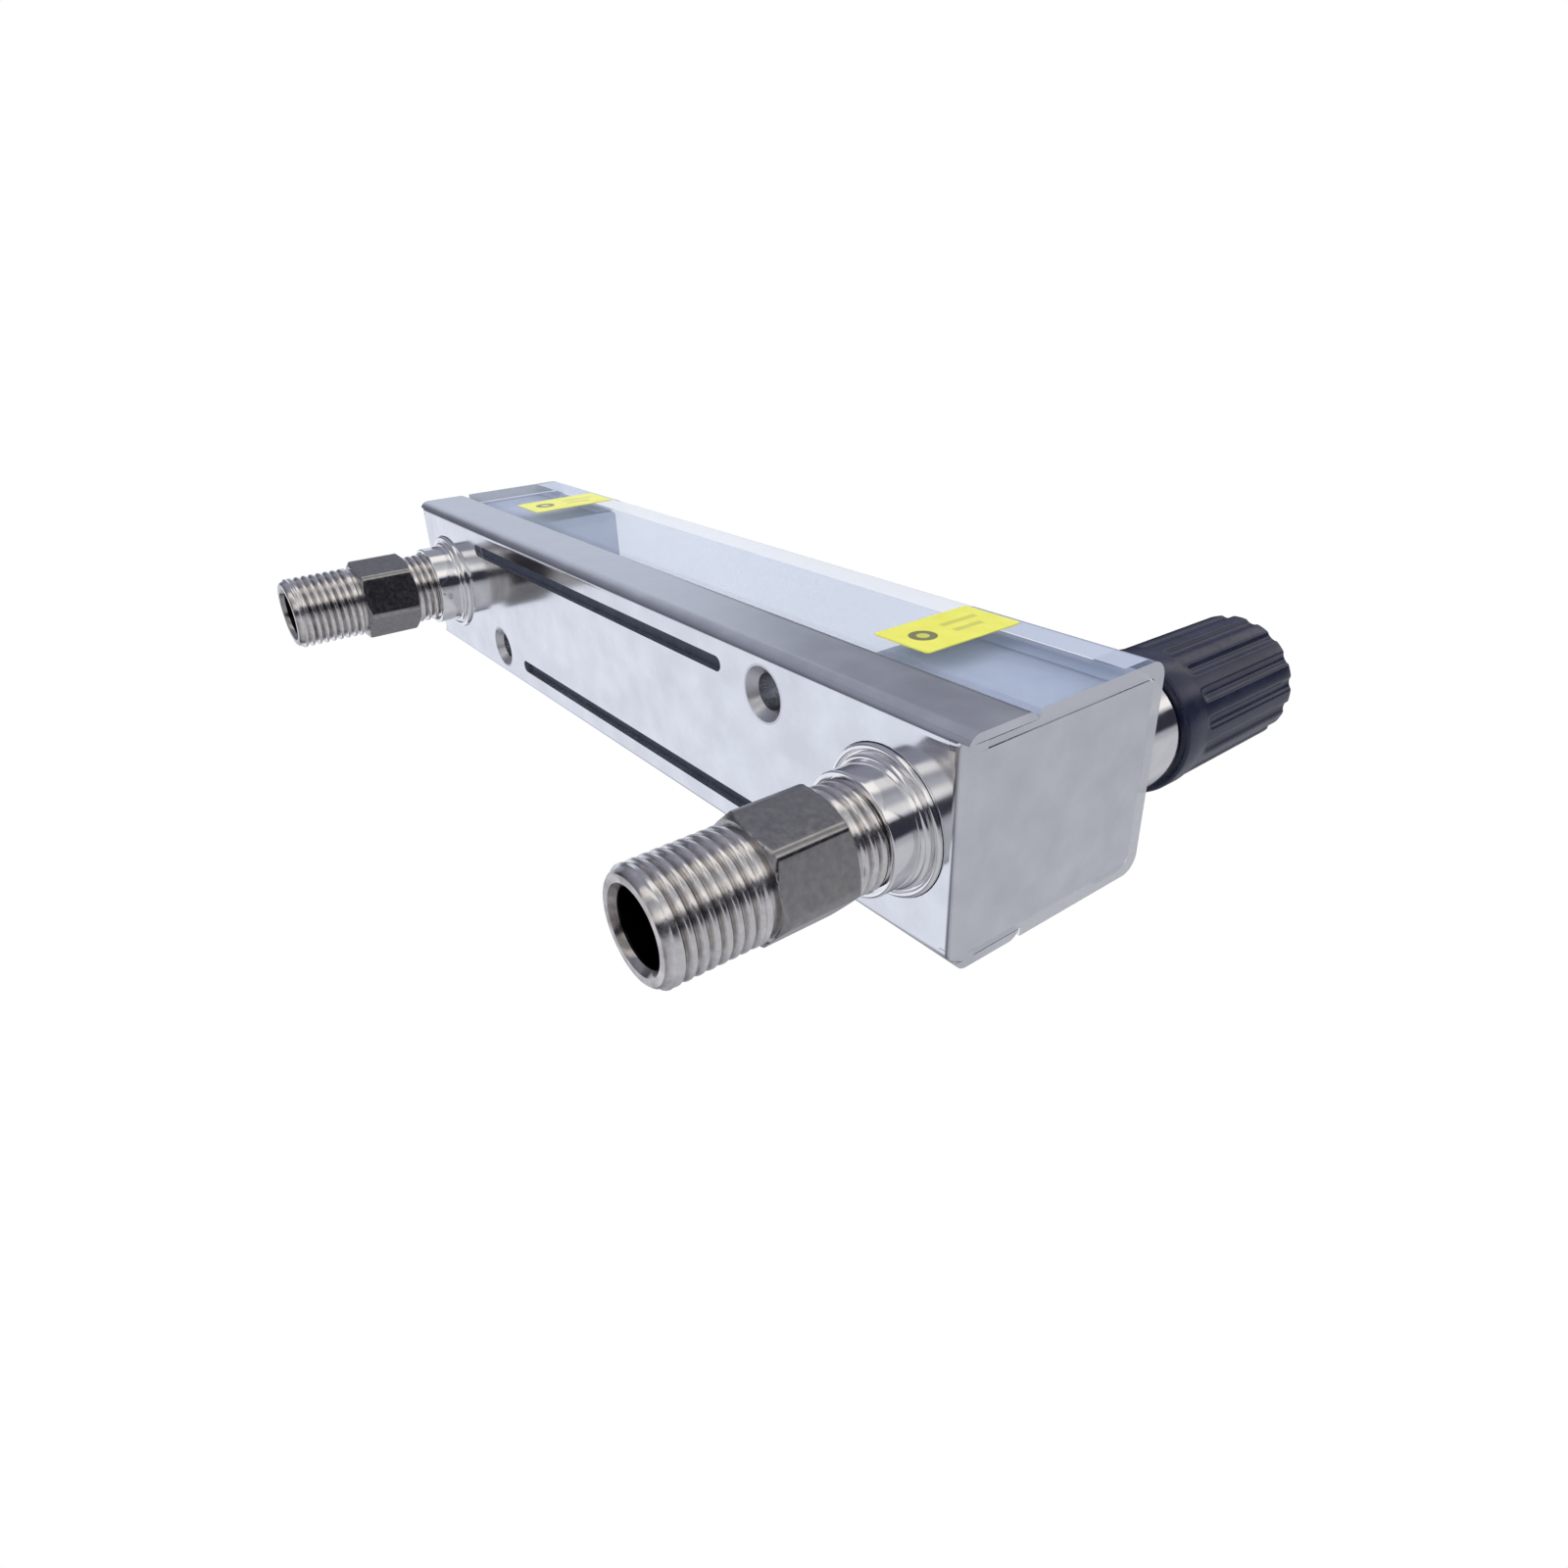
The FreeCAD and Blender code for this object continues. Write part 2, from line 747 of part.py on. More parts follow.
def knob_screw_path(radius, r0, r1):
    """A radial rod through the knob's grip, where its set screw sits."""
    angle = math.radians(knob_screw_angle)
    way = V(math.cos(angle), 0, math.sin(angle))
    y = collar_front - knob_gap - knob_length + knob_screw_setback
    start = V(0, y, valve_height) + way * r0
    return Part.makeCylinder(radius, r1 - r0, start, way)


def knob_screw():
    """Set screw that clamps the knob on its spindle, sunk below the grip, with a key socket."""
    r0 = spindle_radius + slide_gap
    r1 = grip_radius - knob_screw_sink
    body = knob_screw_path(knob_screw_radius - slide_gap, r0, r1)
    return body.cut(knob_screw_path(knob_screw_radius / 2, r1 - knob_screw_key_depth, r1 + overcut))


pieces = {
    "back_frame": back_frame(),
    "clear_cover": clear_cover(),
    "inlet_block": inlet_block(),
    "outlet_block": outlet_block(),
    "top_plug": top_plug(),
    "top_plug_seal": top_plug_seal(),
    "inlet_washer": port_washer(),
    "outlet_washer": half_turn(port_washer()),
    "inlet_seal": port_seal(),
    "outlet_seal": half_turn(port_seal()),
    "inlet_socket": port_socket(),
    "outlet_socket": half_turn(port_socket()),
    "inlet_nipple": pipe_nipple(),
    "outlet_nipple": half_turn(pipe_nipple()),
    "mount_nut_lower": mount_nut(-nut_side, nut_height),
    "mount_nut_upper": mount_nut(nut_side, housing_height - nut_height),
    "glass_tube": glass_tube(),
    "lower_tube_gland": tube_gland(),
    "upper_tube_gland": half_turn(tube_gland()),
    "lower_tube_seal": tube_seal(),
    "upper_tube_seal": half_turn(tube_seal()),
    "lower_float_stop": float_stop(tube_bore_low),
    "upper_float_stop": half_turn(float_stop(tube_bore_high)),
    "flow_float": float_body(),
    "valve_seat": valve_seat(),
    "valve_bonnet": valve_bonnet(),
    "spindle_seal": spindle_seal(),
    "cover_seal": cover_seal(),
    "valve_collar": valve_collar(),
    "needle_guide": needle_guide(),
    "valve_spindle": valve_spindle(),
    "valve_needle": valve_needle(),
    "control_knob": knob(),
    "knob_screw": knob_screw(),
    "lower_label": side_label(label_foot),
    "upper_label": side_label(housing_height - label_foot - label_height),
}

for name, shape in pieces.items():
    shape.exportStep("parts/" + name + ".step")
    kinds = len(shape.Solids)
    print(name, "solids", kinds, "valid", shape.isValid(), "volume", round(shape.Volume, 1))
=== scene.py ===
# %% [markdown]
# # Dressing a short panel rotameter
# A rotameter shows how fast a fluid flows by a float that rises in a glass tube whose bore widens upwards.
# The solids come ready made from CAD and stay where they are.  This lesson gives each of them its finish,
# and stands a finer piece in for a solid where a thread, a fluted grip or printed marks need more detail.

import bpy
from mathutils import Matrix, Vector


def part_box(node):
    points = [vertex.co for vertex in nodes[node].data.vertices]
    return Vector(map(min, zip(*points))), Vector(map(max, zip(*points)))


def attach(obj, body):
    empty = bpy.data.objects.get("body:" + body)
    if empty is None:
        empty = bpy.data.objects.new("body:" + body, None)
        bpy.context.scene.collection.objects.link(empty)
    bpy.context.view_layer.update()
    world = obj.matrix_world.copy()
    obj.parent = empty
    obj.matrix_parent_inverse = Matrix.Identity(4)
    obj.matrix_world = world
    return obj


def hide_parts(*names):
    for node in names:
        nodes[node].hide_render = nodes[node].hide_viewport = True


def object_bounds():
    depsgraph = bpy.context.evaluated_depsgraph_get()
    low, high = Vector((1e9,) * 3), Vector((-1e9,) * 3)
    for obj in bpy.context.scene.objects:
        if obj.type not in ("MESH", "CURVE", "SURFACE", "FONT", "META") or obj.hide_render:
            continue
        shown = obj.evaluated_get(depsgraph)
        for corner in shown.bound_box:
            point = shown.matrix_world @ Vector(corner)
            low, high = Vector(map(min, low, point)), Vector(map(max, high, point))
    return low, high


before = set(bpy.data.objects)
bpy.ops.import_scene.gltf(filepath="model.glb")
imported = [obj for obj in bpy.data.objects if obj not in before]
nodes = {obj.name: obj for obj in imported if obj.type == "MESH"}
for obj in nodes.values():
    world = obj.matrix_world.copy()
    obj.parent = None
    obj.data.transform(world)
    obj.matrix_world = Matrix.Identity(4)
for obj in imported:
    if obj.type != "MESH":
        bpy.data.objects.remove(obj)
cad_low, cad_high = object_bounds()

# %% [markdown]
# ## Sizes read from the solids
# Most places in this lesson come from the boxes of the solids.  A size that no box holds, such as a
# thread's crest or a slot's place, is written as a named value where it is first used, and has to be kept
# the same as in the part's source.

# %% Read the main places
import math

import bmesh
import bpy
from mathutils import Matrix, Vector

housing_low, housing_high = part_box("back_frame")
tube_low, tube_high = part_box("glass_tube")


def middle(node):
    low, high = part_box(node)
    return (low + high) / 2


def mm(value):
    return value / 1000


print("housing in mm", [round(v * 1000, 1) for v in housing_high - housing_low])

# %% [markdown]
# ## Helpers for materials
# A metal or plastic looks real when its colour, gloss and surface change a little from place to place.
# A noise texture read in object coordinates does that at a true size, and it moves with the piece.
# Each helper adds one such step to a material, so that the finishes below stay short.

# %% Material helpers


def finish(name, colour, roughness, metallic=0.0):
    """A new material with plain values on the shader's own sockets."""
    material = bpy.data.materials.new(name)
    material.use_nodes = True
    shader = material.node_tree.nodes["Principled BSDF"]
    shader.inputs["Base Color"].default_value = (*colour, 1)
    shader.inputs["Roughness"].default_value = roughness
    shader.inputs["Metallic"].default_value = metallic
    return material


def parts_of(material):
    """The node tree and the main shader of a material."""
    tree = material.node_tree
    return tree, tree.nodes["Principled BSDF"]


def grain(material, size_mm, stretch=(1, 1, 1), detail=3.0):
    """Noise with features of about size_mm, drawn out along the axes where stretch is above 1."""
    tree, _ = parts_of(material)
    place = tree.nodes.new("ShaderNodeTexCoord")
    scale = tree.nodes.new("ShaderNodeMapping")
    scale.inputs["Scale"].default_value = [1000 / size_mm / s for s in stretch]
    noise = tree.nodes.new("ShaderNodeTexNoise")
    noise.inputs["Scale"].default_value = 1.0
    noise.inputs["Detail"].default_value = detail
    tree.links.new(place.outputs["Object"], scale.inputs["Vector"])
    tree.links.new(scale.outputs["Vector"], noise.inputs["Vector"])
    return noise.outputs["Fac"]


def spread(material, value, low, high):
    """Stretches a noise value, which mostly lies between 0.3 and 0.7, over low to high."""
    tree, _ = parts_of(material)
    span = tree.nodes.new("ShaderNodeMapRange")
    span.inputs["From Min"].default_value = 0.3
    span.inputs["From Max"].default_value = 0.7
    span.inputs["To Min"].default_value = low
    span.inputs["To Max"].default_value = high
    tree.links.new(value, span.inputs["Value"])
    return span.outputs["Result"]


def tint(material, value, dark, light):
    """Colours the surface from dark to light along a noise value."""
    tree, shader = parts_of(material)
    ramp = tree.nodes.new("ShaderNodeValToRGB")
    ramp.color_ramp.elements[0].position = 0.3
    ramp.color_ramp.elements[0].color = (*dark, 1)
    ramp.color_ramp.elements[1].position = 0.7
    ramp.color_ramp.elements[1].color = (*light, 1)
    tree.links.new(value, ramp.inputs["Fac"])
    tree.links.new(ramp.outputs["Color"], shader.inputs["Base Color"])
    return ramp.outputs["Color"]


def gloss(material, value, low, high):
    """Roughness that runs from low to high along a noise value."""
    tree, shader = parts_of(material)
    tree.links.new(spread(material, value, low, high), shader.inputs["Roughness"])


def relief(material, value, height_mm):
    """A raised surface of the given height along a noise value."""
    tree, shader = parts_of(material)
    bump = tree.nodes.new("ShaderNodeBump")
    bump.inputs["Distance"].default_value = mm(height_mm)
    tree.links.new(value, bump.inputs["Height"])
    tree.links.new(bump.outputs["Normal"], shader.inputs["Normal"])


def axis_value(material, output, axis):
    """One axis of an object-space place ("Object") or face direction ("Normal")."""
    tree, _ = parts_of(material)
    place = tree.nodes.new("ShaderNodeTexCoord")
    axes = tree.nodes.new("ShaderNodeSeparateXYZ")
    tree.links.new(place.outputs[output], axes.inputs["Vector"])
    return axes.outputs[axis]


def within(material, value, middle_at, half):
    """1 where a value lies within half of middle_at, 0 elsewhere."""
    tree, _ = parts_of(material)
    test = tree.nodes.new("ShaderNodeMath")
    test.operation = "COMPARE"
    test.inputs[1].default_value = middle_at
    test.inputs[2].default_value = half
    tree.links.new(value, test.inputs[0])
    return test.outputs[0]


def looks_along(material, axis):
    """1 on faces that look along an axis either way, 0 on all others."""
    tree, _ = parts_of(material)
    size = tree.nodes.new("ShaderNodeMath")
    size.operation = "ABSOLUTE"
    tree.links.new(axis_value(material, "Normal", axis), size.inputs[0])
    return within(material, size.outputs[0], 1.0, 0.3)


def coat_node(name, material):
    """Gives a CAD node its finish."""
    node = nodes[name]
    node.data.materials.clear()
    node.data.materials.append(material)


# %% [markdown]
# ## Satin sheet for the folded back frame
# The frame is one blank of cold-rolled stainless steel, folded on a press.  Such sheet is satin: it mirrors
# its surroundings softly and shows faint clouds where it was handled.  Very fine drawn-out noise makes the
# rolling grain, and soft noise makes the clouds.  The protective film comes off the back plate last, so
# that plate is brighter and mirrors more sharply, which a mask by face direction gives.

# %% Satin sheet
satin_sheet = finish("satin_sheet", (0.74, 0.76, 0.80), 0.3, 1.0)
clouds = grain(satin_sheet, 6.0, detail=6.0)
tint(satin_sheet, clouds, (0.68, 0.69, 0.72), (0.80, 0.81, 0.84))
tree, shader = parts_of(satin_sheet)
plate = tree.nodes.new("ShaderNodeMix")
plate.inputs["B"].default_value = 0.13
tree.links.new(looks_along(satin_sheet, "Y"), plate.inputs["Factor"])
tree.links.new(spread(satin_sheet, clouds, 0.28, 0.36), plate.inputs["A"])
tree.links.new(plate.outputs["Result"], shader.inputs["Roughness"])
relief(satin_sheet, grain(satin_sheet, 0.12, (1, 1, 20)), 0.0006)
coat_node("back_frame", satin_sheet)
print("satin_sheet nodes", len(satin_sheet.node_tree.nodes))

# %% [markdown]
# ## Polished steel for the sockets and the collar
# The sockets, their washers and the round nut behind the knob are turned and then polished, so they mirror
# the studio as bright and dark bands.  A low roughness does most of it.  Fine rings round the turning axis
# keep the bands from looking like liquid chrome.

# %% Polished steel
polished_steel = finish("polished_steel", (0.88, 0.87, 0.87), 0.1, 1.0)
tint(polished_steel, grain(polished_steel, 3.0), (0.84, 0.83, 0.83), (0.92, 0.91, 0.91))
gloss(polished_steel, grain(polished_steel, 2.0), 0.06, 0.14)
relief(polished_steel, grain(polished_steel, 0.08, (25, 1, 25)), 0.0003)
coat_node("valve_collar", polished_steel)
print("polished_steel nodes", len(polished_steel.node_tree.nodes))

# %% [markdown]
# ## Turned steel for the small inner parts
# The gland rings, stops, bonnet, spindle and needle come off a lathe and are left as they are.  They are a
# little duller and show tool marks.  The rivet nuts and the set screw are plated, so they get a darker copy.

# %% Turned steel
turned_steel = finish("turned_steel", (0.56, 0.56, 0.57), 0.25, 1.0)
gloss(turned_steel, grain(turned_steel, 1.5), 0.18, 0.34)
relief(turned_steel, grain(turned_steel, 0.1, (12, 1, 12)), 0.003)
for name in (
    "lower_tube_gland",
    "upper_tube_gland",
    "lower_float_stop",
    "upper_float_stop",
    "valve_bonnet",
    "valve_seat",
    "needle_guide",
    "valve_spindle",
    "valve_needle",
    "top_plug",
):
    coat_node(name, turned_steel)

plated_steel = finish("plated_steel", (0.60, 0.60, 0.62), 0.3, 1.0)
gloss(plated_steel, grain(plated_steel, 1.0), 0.26, 0.38)
relief(plated_steel, grain(plated_steel, 0.5), 0.0005)
for name in ("mount_nut_lower", "mount_nut_upper", "knob_screw"):
    coat_node(name, plated_steel)

float_steel = finish("float_steel", (0.60, 0.60, 0.62), 0.15, 1.0)
gloss(float_steel, grain(float_steel, 0.8), 0.1, 0.22)
relief(float_steel, grain(float_steel, 0.08, (12, 12, 1)), 0.001)
coat_node("flow_float", float_steel)
print("steel finishes", turned_steel.name, plated_steel.name, float_steel.name)

# %% [markdown]
# ## Milled blocks
# The two end blocks are milled from a light alloy and washed, which leaves a dull blue-grey face with fine
# cutter lines.  They only show through the clear cover, so a soft grain and a little colour change do.

# %% Milled blocks
milled_alloy = finish("milled_alloy", (0.46, 0.49, 0.58), 0.5, 0.2)
tint(milled_alloy, grain(milled_alloy, 5.0), (0.43, 0.46, 0.55), (0.49, 0.52, 0.61))
relief(milled_alloy, grain(milled_alloy, 0.3, (1, 8, 1)), 0.004)
for name in ("inlet_block", "outlet_block"):
    coat_node(name, milled_alloy)
print("block heights in mm", [round(middle(n).z * 1000, 1) for n in ("inlet_block", "outlet_block")])

# %% [markdown]
# ## Rubber rings
# The flat and round seals are black rubber, a dull dark grey with a fine matt skin.

# %% Rubber
rubber = finish("seal_rubber", (0.02, 0.02, 0.022), 0.6)
tint(rubber, grain(rubber, 0.6), (0.014, 0.014, 0.016), (0.03, 0.03, 0.033))
relief(rubber, grain(rubber, 0.15), 0.01)
for name in (
    "inlet_seal",
    "outlet_seal",
    "lower_tube_seal",
    "upper_tube_seal",
    "spindle_seal",
    "cover_seal",
    "top_plug_seal",
):
    coat_node(name, rubber)
print("rubber pieces", sum(rubber.name in node.data.materials for node in nodes.values()))

# %% [markdown]
# ## Glass tube
# The tube is ground glass.  It is set up as a real transparent solid, so its wall bends the light and the
# float looks wider than it is.  A renderer that follows light only from the camera finds lamps badly
# through glass, so shadow rays pass straight through instead.

# %% Tube glass


def lets_lamps_through(material, colour):
    """Rays towards a lamp meet plain tinted air instead of the glass."""
    tree, shader = parts_of(material)
    path = tree.nodes.new("ShaderNodeLightPath")
    through = tree.nodes.new("ShaderNodeBsdfTransparent")
    through.inputs["Color"].default_value = (*colour, 1)
    mix = tree.nodes.new("ShaderNodeMixShader")
    tree.links.new(path.outputs["Is Shadow Ray"], mix.inputs["Fac"])
    tree.links.new(shader.outputs["BSDF"], mix.inputs[1])
    tree.links.new(through.outputs["BSDF"], mix.inputs[2])
    tree.links.new(mix.outputs["Shader"], tree.nodes["Material Output"].inputs["Surface"])


tube_glass = finish("tube_glass", (0.95, 0.98, 0.98), 0.0)
tube_glass.node_tree.nodes["Principled BSDF"].inputs["Transmission Weight"].default_value = 1.0
tube_glass.node_tree.nodes["Principled BSDF"].inputs["IOR"].default_value = 1.47
gloss(tube_glass, grain(tube_glass, 4.0), 0.0, 0.02)
lets_lamps_through(tube_glass, (0.95, 0.98, 0.98))
coat_node("glass_tube", tube_glass)
print("tube length in mm", round((tube_high.z - tube_low.z) * 1000, 1))

# %% [markdown]
# ## Clear cover
# The cover is folded from acrylic sheet, 2 mm thick.  Flat walls this thin hardly move what is seen
# through them, so they are made as a faintly blue film that is mostly see-through and glossy.  That stays
# clean where two walls lie behind each other.  The sawn edges at both ends scatter light instead, and so
# the direction that a face looks in sets them off.  A real fold carries the image of the block beside it
# round the corner.  Thin film can't do that, so the last few millimetres before the front fold are painted
# nearly solid in the block's colour beside each block.  It is a stand-in, and shows as a strip from the side.

# %% Acrylic
acrylic = finish("clear_acrylic", (0.46, 0.56, 0.78), 0.05)
tree, shader = parts_of(acrylic)
shader.inputs["IOR"].default_value = 1.49
haze = tint(acrylic, grain(acrylic, 9.0), (0.44, 0.54, 0.76), (0.48, 0.58, 0.80))


def join_masks(material, one, two, way="MAXIMUM"):
    """Joins two masks: their larger, or their product."""
    join = parts_of(material)[0].nodes.new("ShaderNodeMath")
    join.operation = way
    parts_of(material)[0].links.new(one, join.inputs[0])
    parts_of(material)[0].links.new(two, join.inputs[1])
    return join.outputs[0]


def coloured_where(material, mask, under, colour):
    """The colour under, turning into another one where the mask is 1."""
    tree, shader = parts_of(material)
    mix = tree.nodes.new("ShaderNodeMix")
    mix.data_type = "RGBA"
    mix.inputs["B"].default_value = (*colour, 1)
    tree.links.new(mask, mix.inputs["Factor"])
    tree.links.new(under, mix.inputs["A"])
    tree.links.new(mix.outputs["Result"], shader.inputs["Base Color"])
    return mix.outputs["Result"]


sawn = looks_along(acrylic, "Z")
height = axis_value(acrylic, "Object", "Z")
depth = axis_value(acrylic, "Object", "Y")
front_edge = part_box("clear_cover")[0].y
block_half = mm(13.7)
fold_reach = mm(6.6)
by_block = [within(acrylic, height, middle(n).z, block_half) for n in ("inlet_block", "outlet_block")]
near_front = within(acrylic, depth, front_edge, fold_reach)
fold = join_masks(acrylic, near_front, looks_along(acrylic, "X"), "MULTIPLY")
fold = join_masks(acrylic, fold, join_masks(acrylic, *by_block), "MULTIPLY")
paint = coloured_where(acrylic, fold, haze, (0.43, 0.48, 0.61))
paint = coloured_where(acrylic, sawn, paint, (0.40, 0.41, 0.45))
see = tree.nodes.new("ShaderNodeMapRange")
see.inputs["To Min"].default_value = 0.2
see.inputs["To Max"].default_value = 0.92
tree.links.new(join_masks(acrylic, sawn, fold), see.inputs["Value"])
tree.links.new(see.outputs["Result"], shader.inputs["Alpha"])
relief(acrylic, grain(acrylic, 9.0), 0.01)
coat_node("clear_cover", acrylic)
print("cover front at y in mm", round(front_edge * 1000, 2))

# %% [markdown]
# ## Labels
# Two yellow film labels sit on the cover's side.  They are left generic: a plain dark ring and two plain
# bars, with no word or sign.  The print is drawn by the material from each label's own middle, because
# ink has no thickness worth building.

# %% Label film with a plain print


def ring_and_bars(material, node):
    """Ink share, from 0 to 1: a filled dot inside a ring, and two bars beside it."""
    tree, _ = parts_of(material)
    centre = middle(node)
    place = tree.nodes.new("ShaderNodeTexCoord")
    axes = tree.nodes.new("ShaderNodeSeparateXYZ")
    tree.links.new(place.outputs["Object"], axes.inputs["Vector"])

    def calc(operation, a, b=None, c=None):
        node_ = tree.nodes.new("ShaderNodeMath")
        node_.operation = operation
        for socket, value in zip(node_.inputs, (a, b, c)):
            if isinstance(value, (int, float)):
                socket.default_value = value
            elif value is not None:
                tree.links.new(value, socket)
        return node_.outputs[0]

    def near(value, centre_at, half):
        return calc("COMPARE", value, centre_at, half)

    y, z = axes.outputs["Y"], axes.outputs["Z"]
    ring_y, ring_z = centre.y + mm(4.4), centre.z
    away = calc("SQRT", calc("ADD", calc("POWER", calc("SUBTRACT", y, ring_y), 2.0),
                             calc("POWER", calc("SUBTRACT", z, ring_z), 2.0)))
    ring = calc("MAXIMUM", near(away, mm(1.35), mm(0.5)), calc("MULTIPLY", near(away, 0.0, mm(0.9)), 0.35))
    ink = calc("MULTIPLY", ring, 0.85)
    for up, start, length in ((1.2, -1.6, 6.4), (-1.2, -1.2, 5.0)):
        bar = calc("MULTIPLY", near(z, centre.z + mm(up), mm(0.5)),
                   near(y, centre.y + mm(start) - mm(length) / 4, mm(length) / 2))
        ink = calc("MAXIMUM", ink, calc("MULTIPLY", bar, 0.28))
    return ink


def label_film(node):
    material = finish(node + "_film", (0.84, 0.80, 0.08), 0.32)
    paint = tint(material, grain(material, 3.0), (0.70, 0.69, 0.10), (0.76, 0.75, 0.13))
    coloured_where(material, ring_and_bars(material, node), paint, (0.07, 0.08, 0.07))
    relief(material, grain(material, 1.2), 0.004)
    coat_node(node, material)


for name in ("lower_label", "upper_label"):
    label_film(name)
print("labels at z in mm", [round(middle(n).z * 1000, 1) for n in ("lower_label", "upper_label")])

# %% [markdown]
# ## A skin built from rings
# Nipples and knobs are turned about an axis along Y, with something cut round them.  Both can be made as
# a skin of rings: each ring has a place on the axis and a radius that may change with the angle.  A
# thread is then a radius that winds, a hexagon is a radius with six corners, and a flute is a dip.

# %% Skin of rings


def new_piece(name, mesh):
    """An object for a mesh, linked to the scene."""
    piece = bpy.data.objects.new(name, mesh)
    bpy.context.scene.collection.objects.link(piece)
    return piece


def ring_skin(name, rings, columns, axis_z, turn=0.0):
    """A closed skin round a line along Y.  Each ring is (y, radius or function of angle)."""
    mesh = bpy.data.meshes.new(name)
    points = []
    for y, radius in rings:
        for j in range(columns):
            angle = 2 * math.pi * j / columns
            r = radius(angle) if callable(radius) else radius
            points.append((r * math.cos(angle + turn), y, axis_z + r * math.sin(angle + turn)))
    faces = []
    for i in range(len(rings)):
        a, b = i * columns, (i + 1) % len(rings) * columns
        for j in range(columns):
            k = (j + 1) % columns
            faces.append((a + j, a + k, b + k, b + j))
    mesh.from_pydata(points, [], faces)
    return new_piece(name, mesh)


def shade(piece, degrees):
    """Face directions put right, smooth shading, and creases where faces meet more sharply than degrees."""
    work = bmesh.new()
    work.from_mesh(piece.data)
    bmesh.ops.recalc_face_normals(work, faces=work.faces)
    work.to_mesh(piece.data)
    work.free()
    for polygon in piece.data.polygons:
        polygon.use_smooth = True
    piece.data.set_sharp_from_angle(angle=math.radians(degrees))


# %% [markdown]
# ## Threaded nipples
# Each port carries a nipple: a short thread that screws into the socket, a hexagon for the spanner, and
# the outer pipe thread.  The solid has plain cylinders there.  A true helix is modelled here, because its
# winding crests catch the light differently from stacked rings.  The thread fades out at both ends, as it
# does where the cutting tool runs in and out.

# %% Sizes of the nipple
inner_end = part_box("inlet_nipple")[0].y
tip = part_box("inlet_nipple")[1].y
hex_turn = math.radians(16)
socket_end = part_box("inlet_socket")[1].y
hex_start = socket_end + mm(4.2)
hex_end = hex_start + mm(10.2)
crest = mm(6.58)
hex_flat = crest + mm(0.16)
hex_corner = hex_flat / math.cos(math.radians(30))
thread_depth = mm(0.62)
pitch = mm(1.337)
bore = mm(4.2)
print("hexagon across flats in mm", round(hex_flat * 2000, 2))

# %% Thread and hexagon as radii


def thread_radius(y, start, end):
    """Radius of a right-handed thread at y, for any angle, fading out near start and end."""
    fade = min(1.0, (y - start) / (0.6 * pitch), (end - y) / (0.8 * pitch))
    fade = max(0.0, fade)
    depth = thread_depth * fade * fade * (3 - 2 * fade)

    def radius(angle):
        return crest - depth * (0.5 - 0.5 * math.sin(2 * math.pi * y / pitch + angle)) ** 1.6

    return radius


def hex_radius(limit):
    """Radius of the hexagon with slightly broken corners, cut down to the round limit of its chamfer."""
    broken = hex_flat / math.cos(math.radians(27.4))

    def radius(angle):
        off = angle % (math.pi / 3) - math.pi / 6
        return min(hex_flat / math.cos(off), broken, limit)

    return radius


def threaded_stretch(start, end):
    """Rings every twentieth of a pitch from start to end."""
    count = round((end - start) / pitch * 20)
    places = [start + (end - start) * i / count for i in range(count + 1)]
    return [(y, thread_radius(y, start, end)) for y in places]


# %% [markdown]
# ## Turned steel with painted shade in the roots
# The thread's roots are painted a warm dark brown, as painted shade for the shade between the steep flanks.
# It has to follow the thread's depth, and the material can work that out alone: the distance from the
# nipple's axis tells how deep a point lies.  The same distance tells the bore apart, which is painted nearly
# black as painted shade inside the hole.  The hexagon takes a darker copy of the steel, as painted shade.

# %% Nipple steel


def axis_distance(material, axis_z):
    """Distance of a surface point from a line along Y at height axis_z."""
    tree, _ = parts_of(material)
    place = tree.nodes.new("ShaderNodeTexCoord")
    shift = tree.nodes.new("ShaderNodeVectorMath")
    shift.operation = "SUBTRACT"
    shift.inputs[1].default_value = (0, 0, axis_z)
    flat = tree.nodes.new("ShaderNodeVectorMath")
    flat.operation = "MULTIPLY"
    flat.inputs[1].default_value = (1, 0, 1)
    length = tree.nodes.new("ShaderNodeVectorMath")
    length.operation = "LENGTH"
    tree.links.new(place.outputs["Object"], shift.inputs[0])
    tree.links.new(shift.outputs[0], flat.inputs[0])
    tree.links.new(flat.outputs[0], length.inputs[0])
    return length.outputs["Value"]


def nipple_steel(name, axis_z, brightness):
    material = finish(name, (0.6, 0.6, 0.6), 0.2, 1.0)
    tree, _ = parts_of(material)
    dark = [brightness * c for c in (0.70, 0.68, 0.67)]
    light = [brightness * c for c in (0.88, 0.85, 0.83)]
    steel = tint(material, grain(material, 0.9, detail=4.0), dark, light)
    # Painted shade: the roots turn a warm dark brown, more so the deeper they lie, unevenly along a noise.
    deep = tree.nodes.new("ShaderNodeMapRange")
    deep.inputs["From Min"].default_value = crest - thread_depth
    deep.inputs["From Max"].default_value = crest - 0.5 * thread_depth
    deep.inputs["To Min"].default_value = 1.0
    deep.inputs["To Max"].default_value = 0.0
    from_axis = axis_distance(material, axis_z)
    tree.links.new(from_axis, deep.inputs["Value"])
    uneven = spread(material, grain(material, 3.0), 0.3, 0.9)
    tan = join_masks(material, deep.outputs["Result"], uneven, "MULTIPLY")
    paint = coloured_where(material, tan, steel, (0.13, 0.10, 0.085))
    # Painted shade: the bore is coloured nearly black.
    in_bore = within(material, from_axis, 0.0, bore + mm(0.1))
    coloured_where(material, in_bore, paint, (0.006, 0.006, 0.009))
    gloss(material, grain(material, 0.7), 0.12, 0.26)
    relief(material, grain(material, 0.3), 0.003)
    return material


# %% Build both nipples


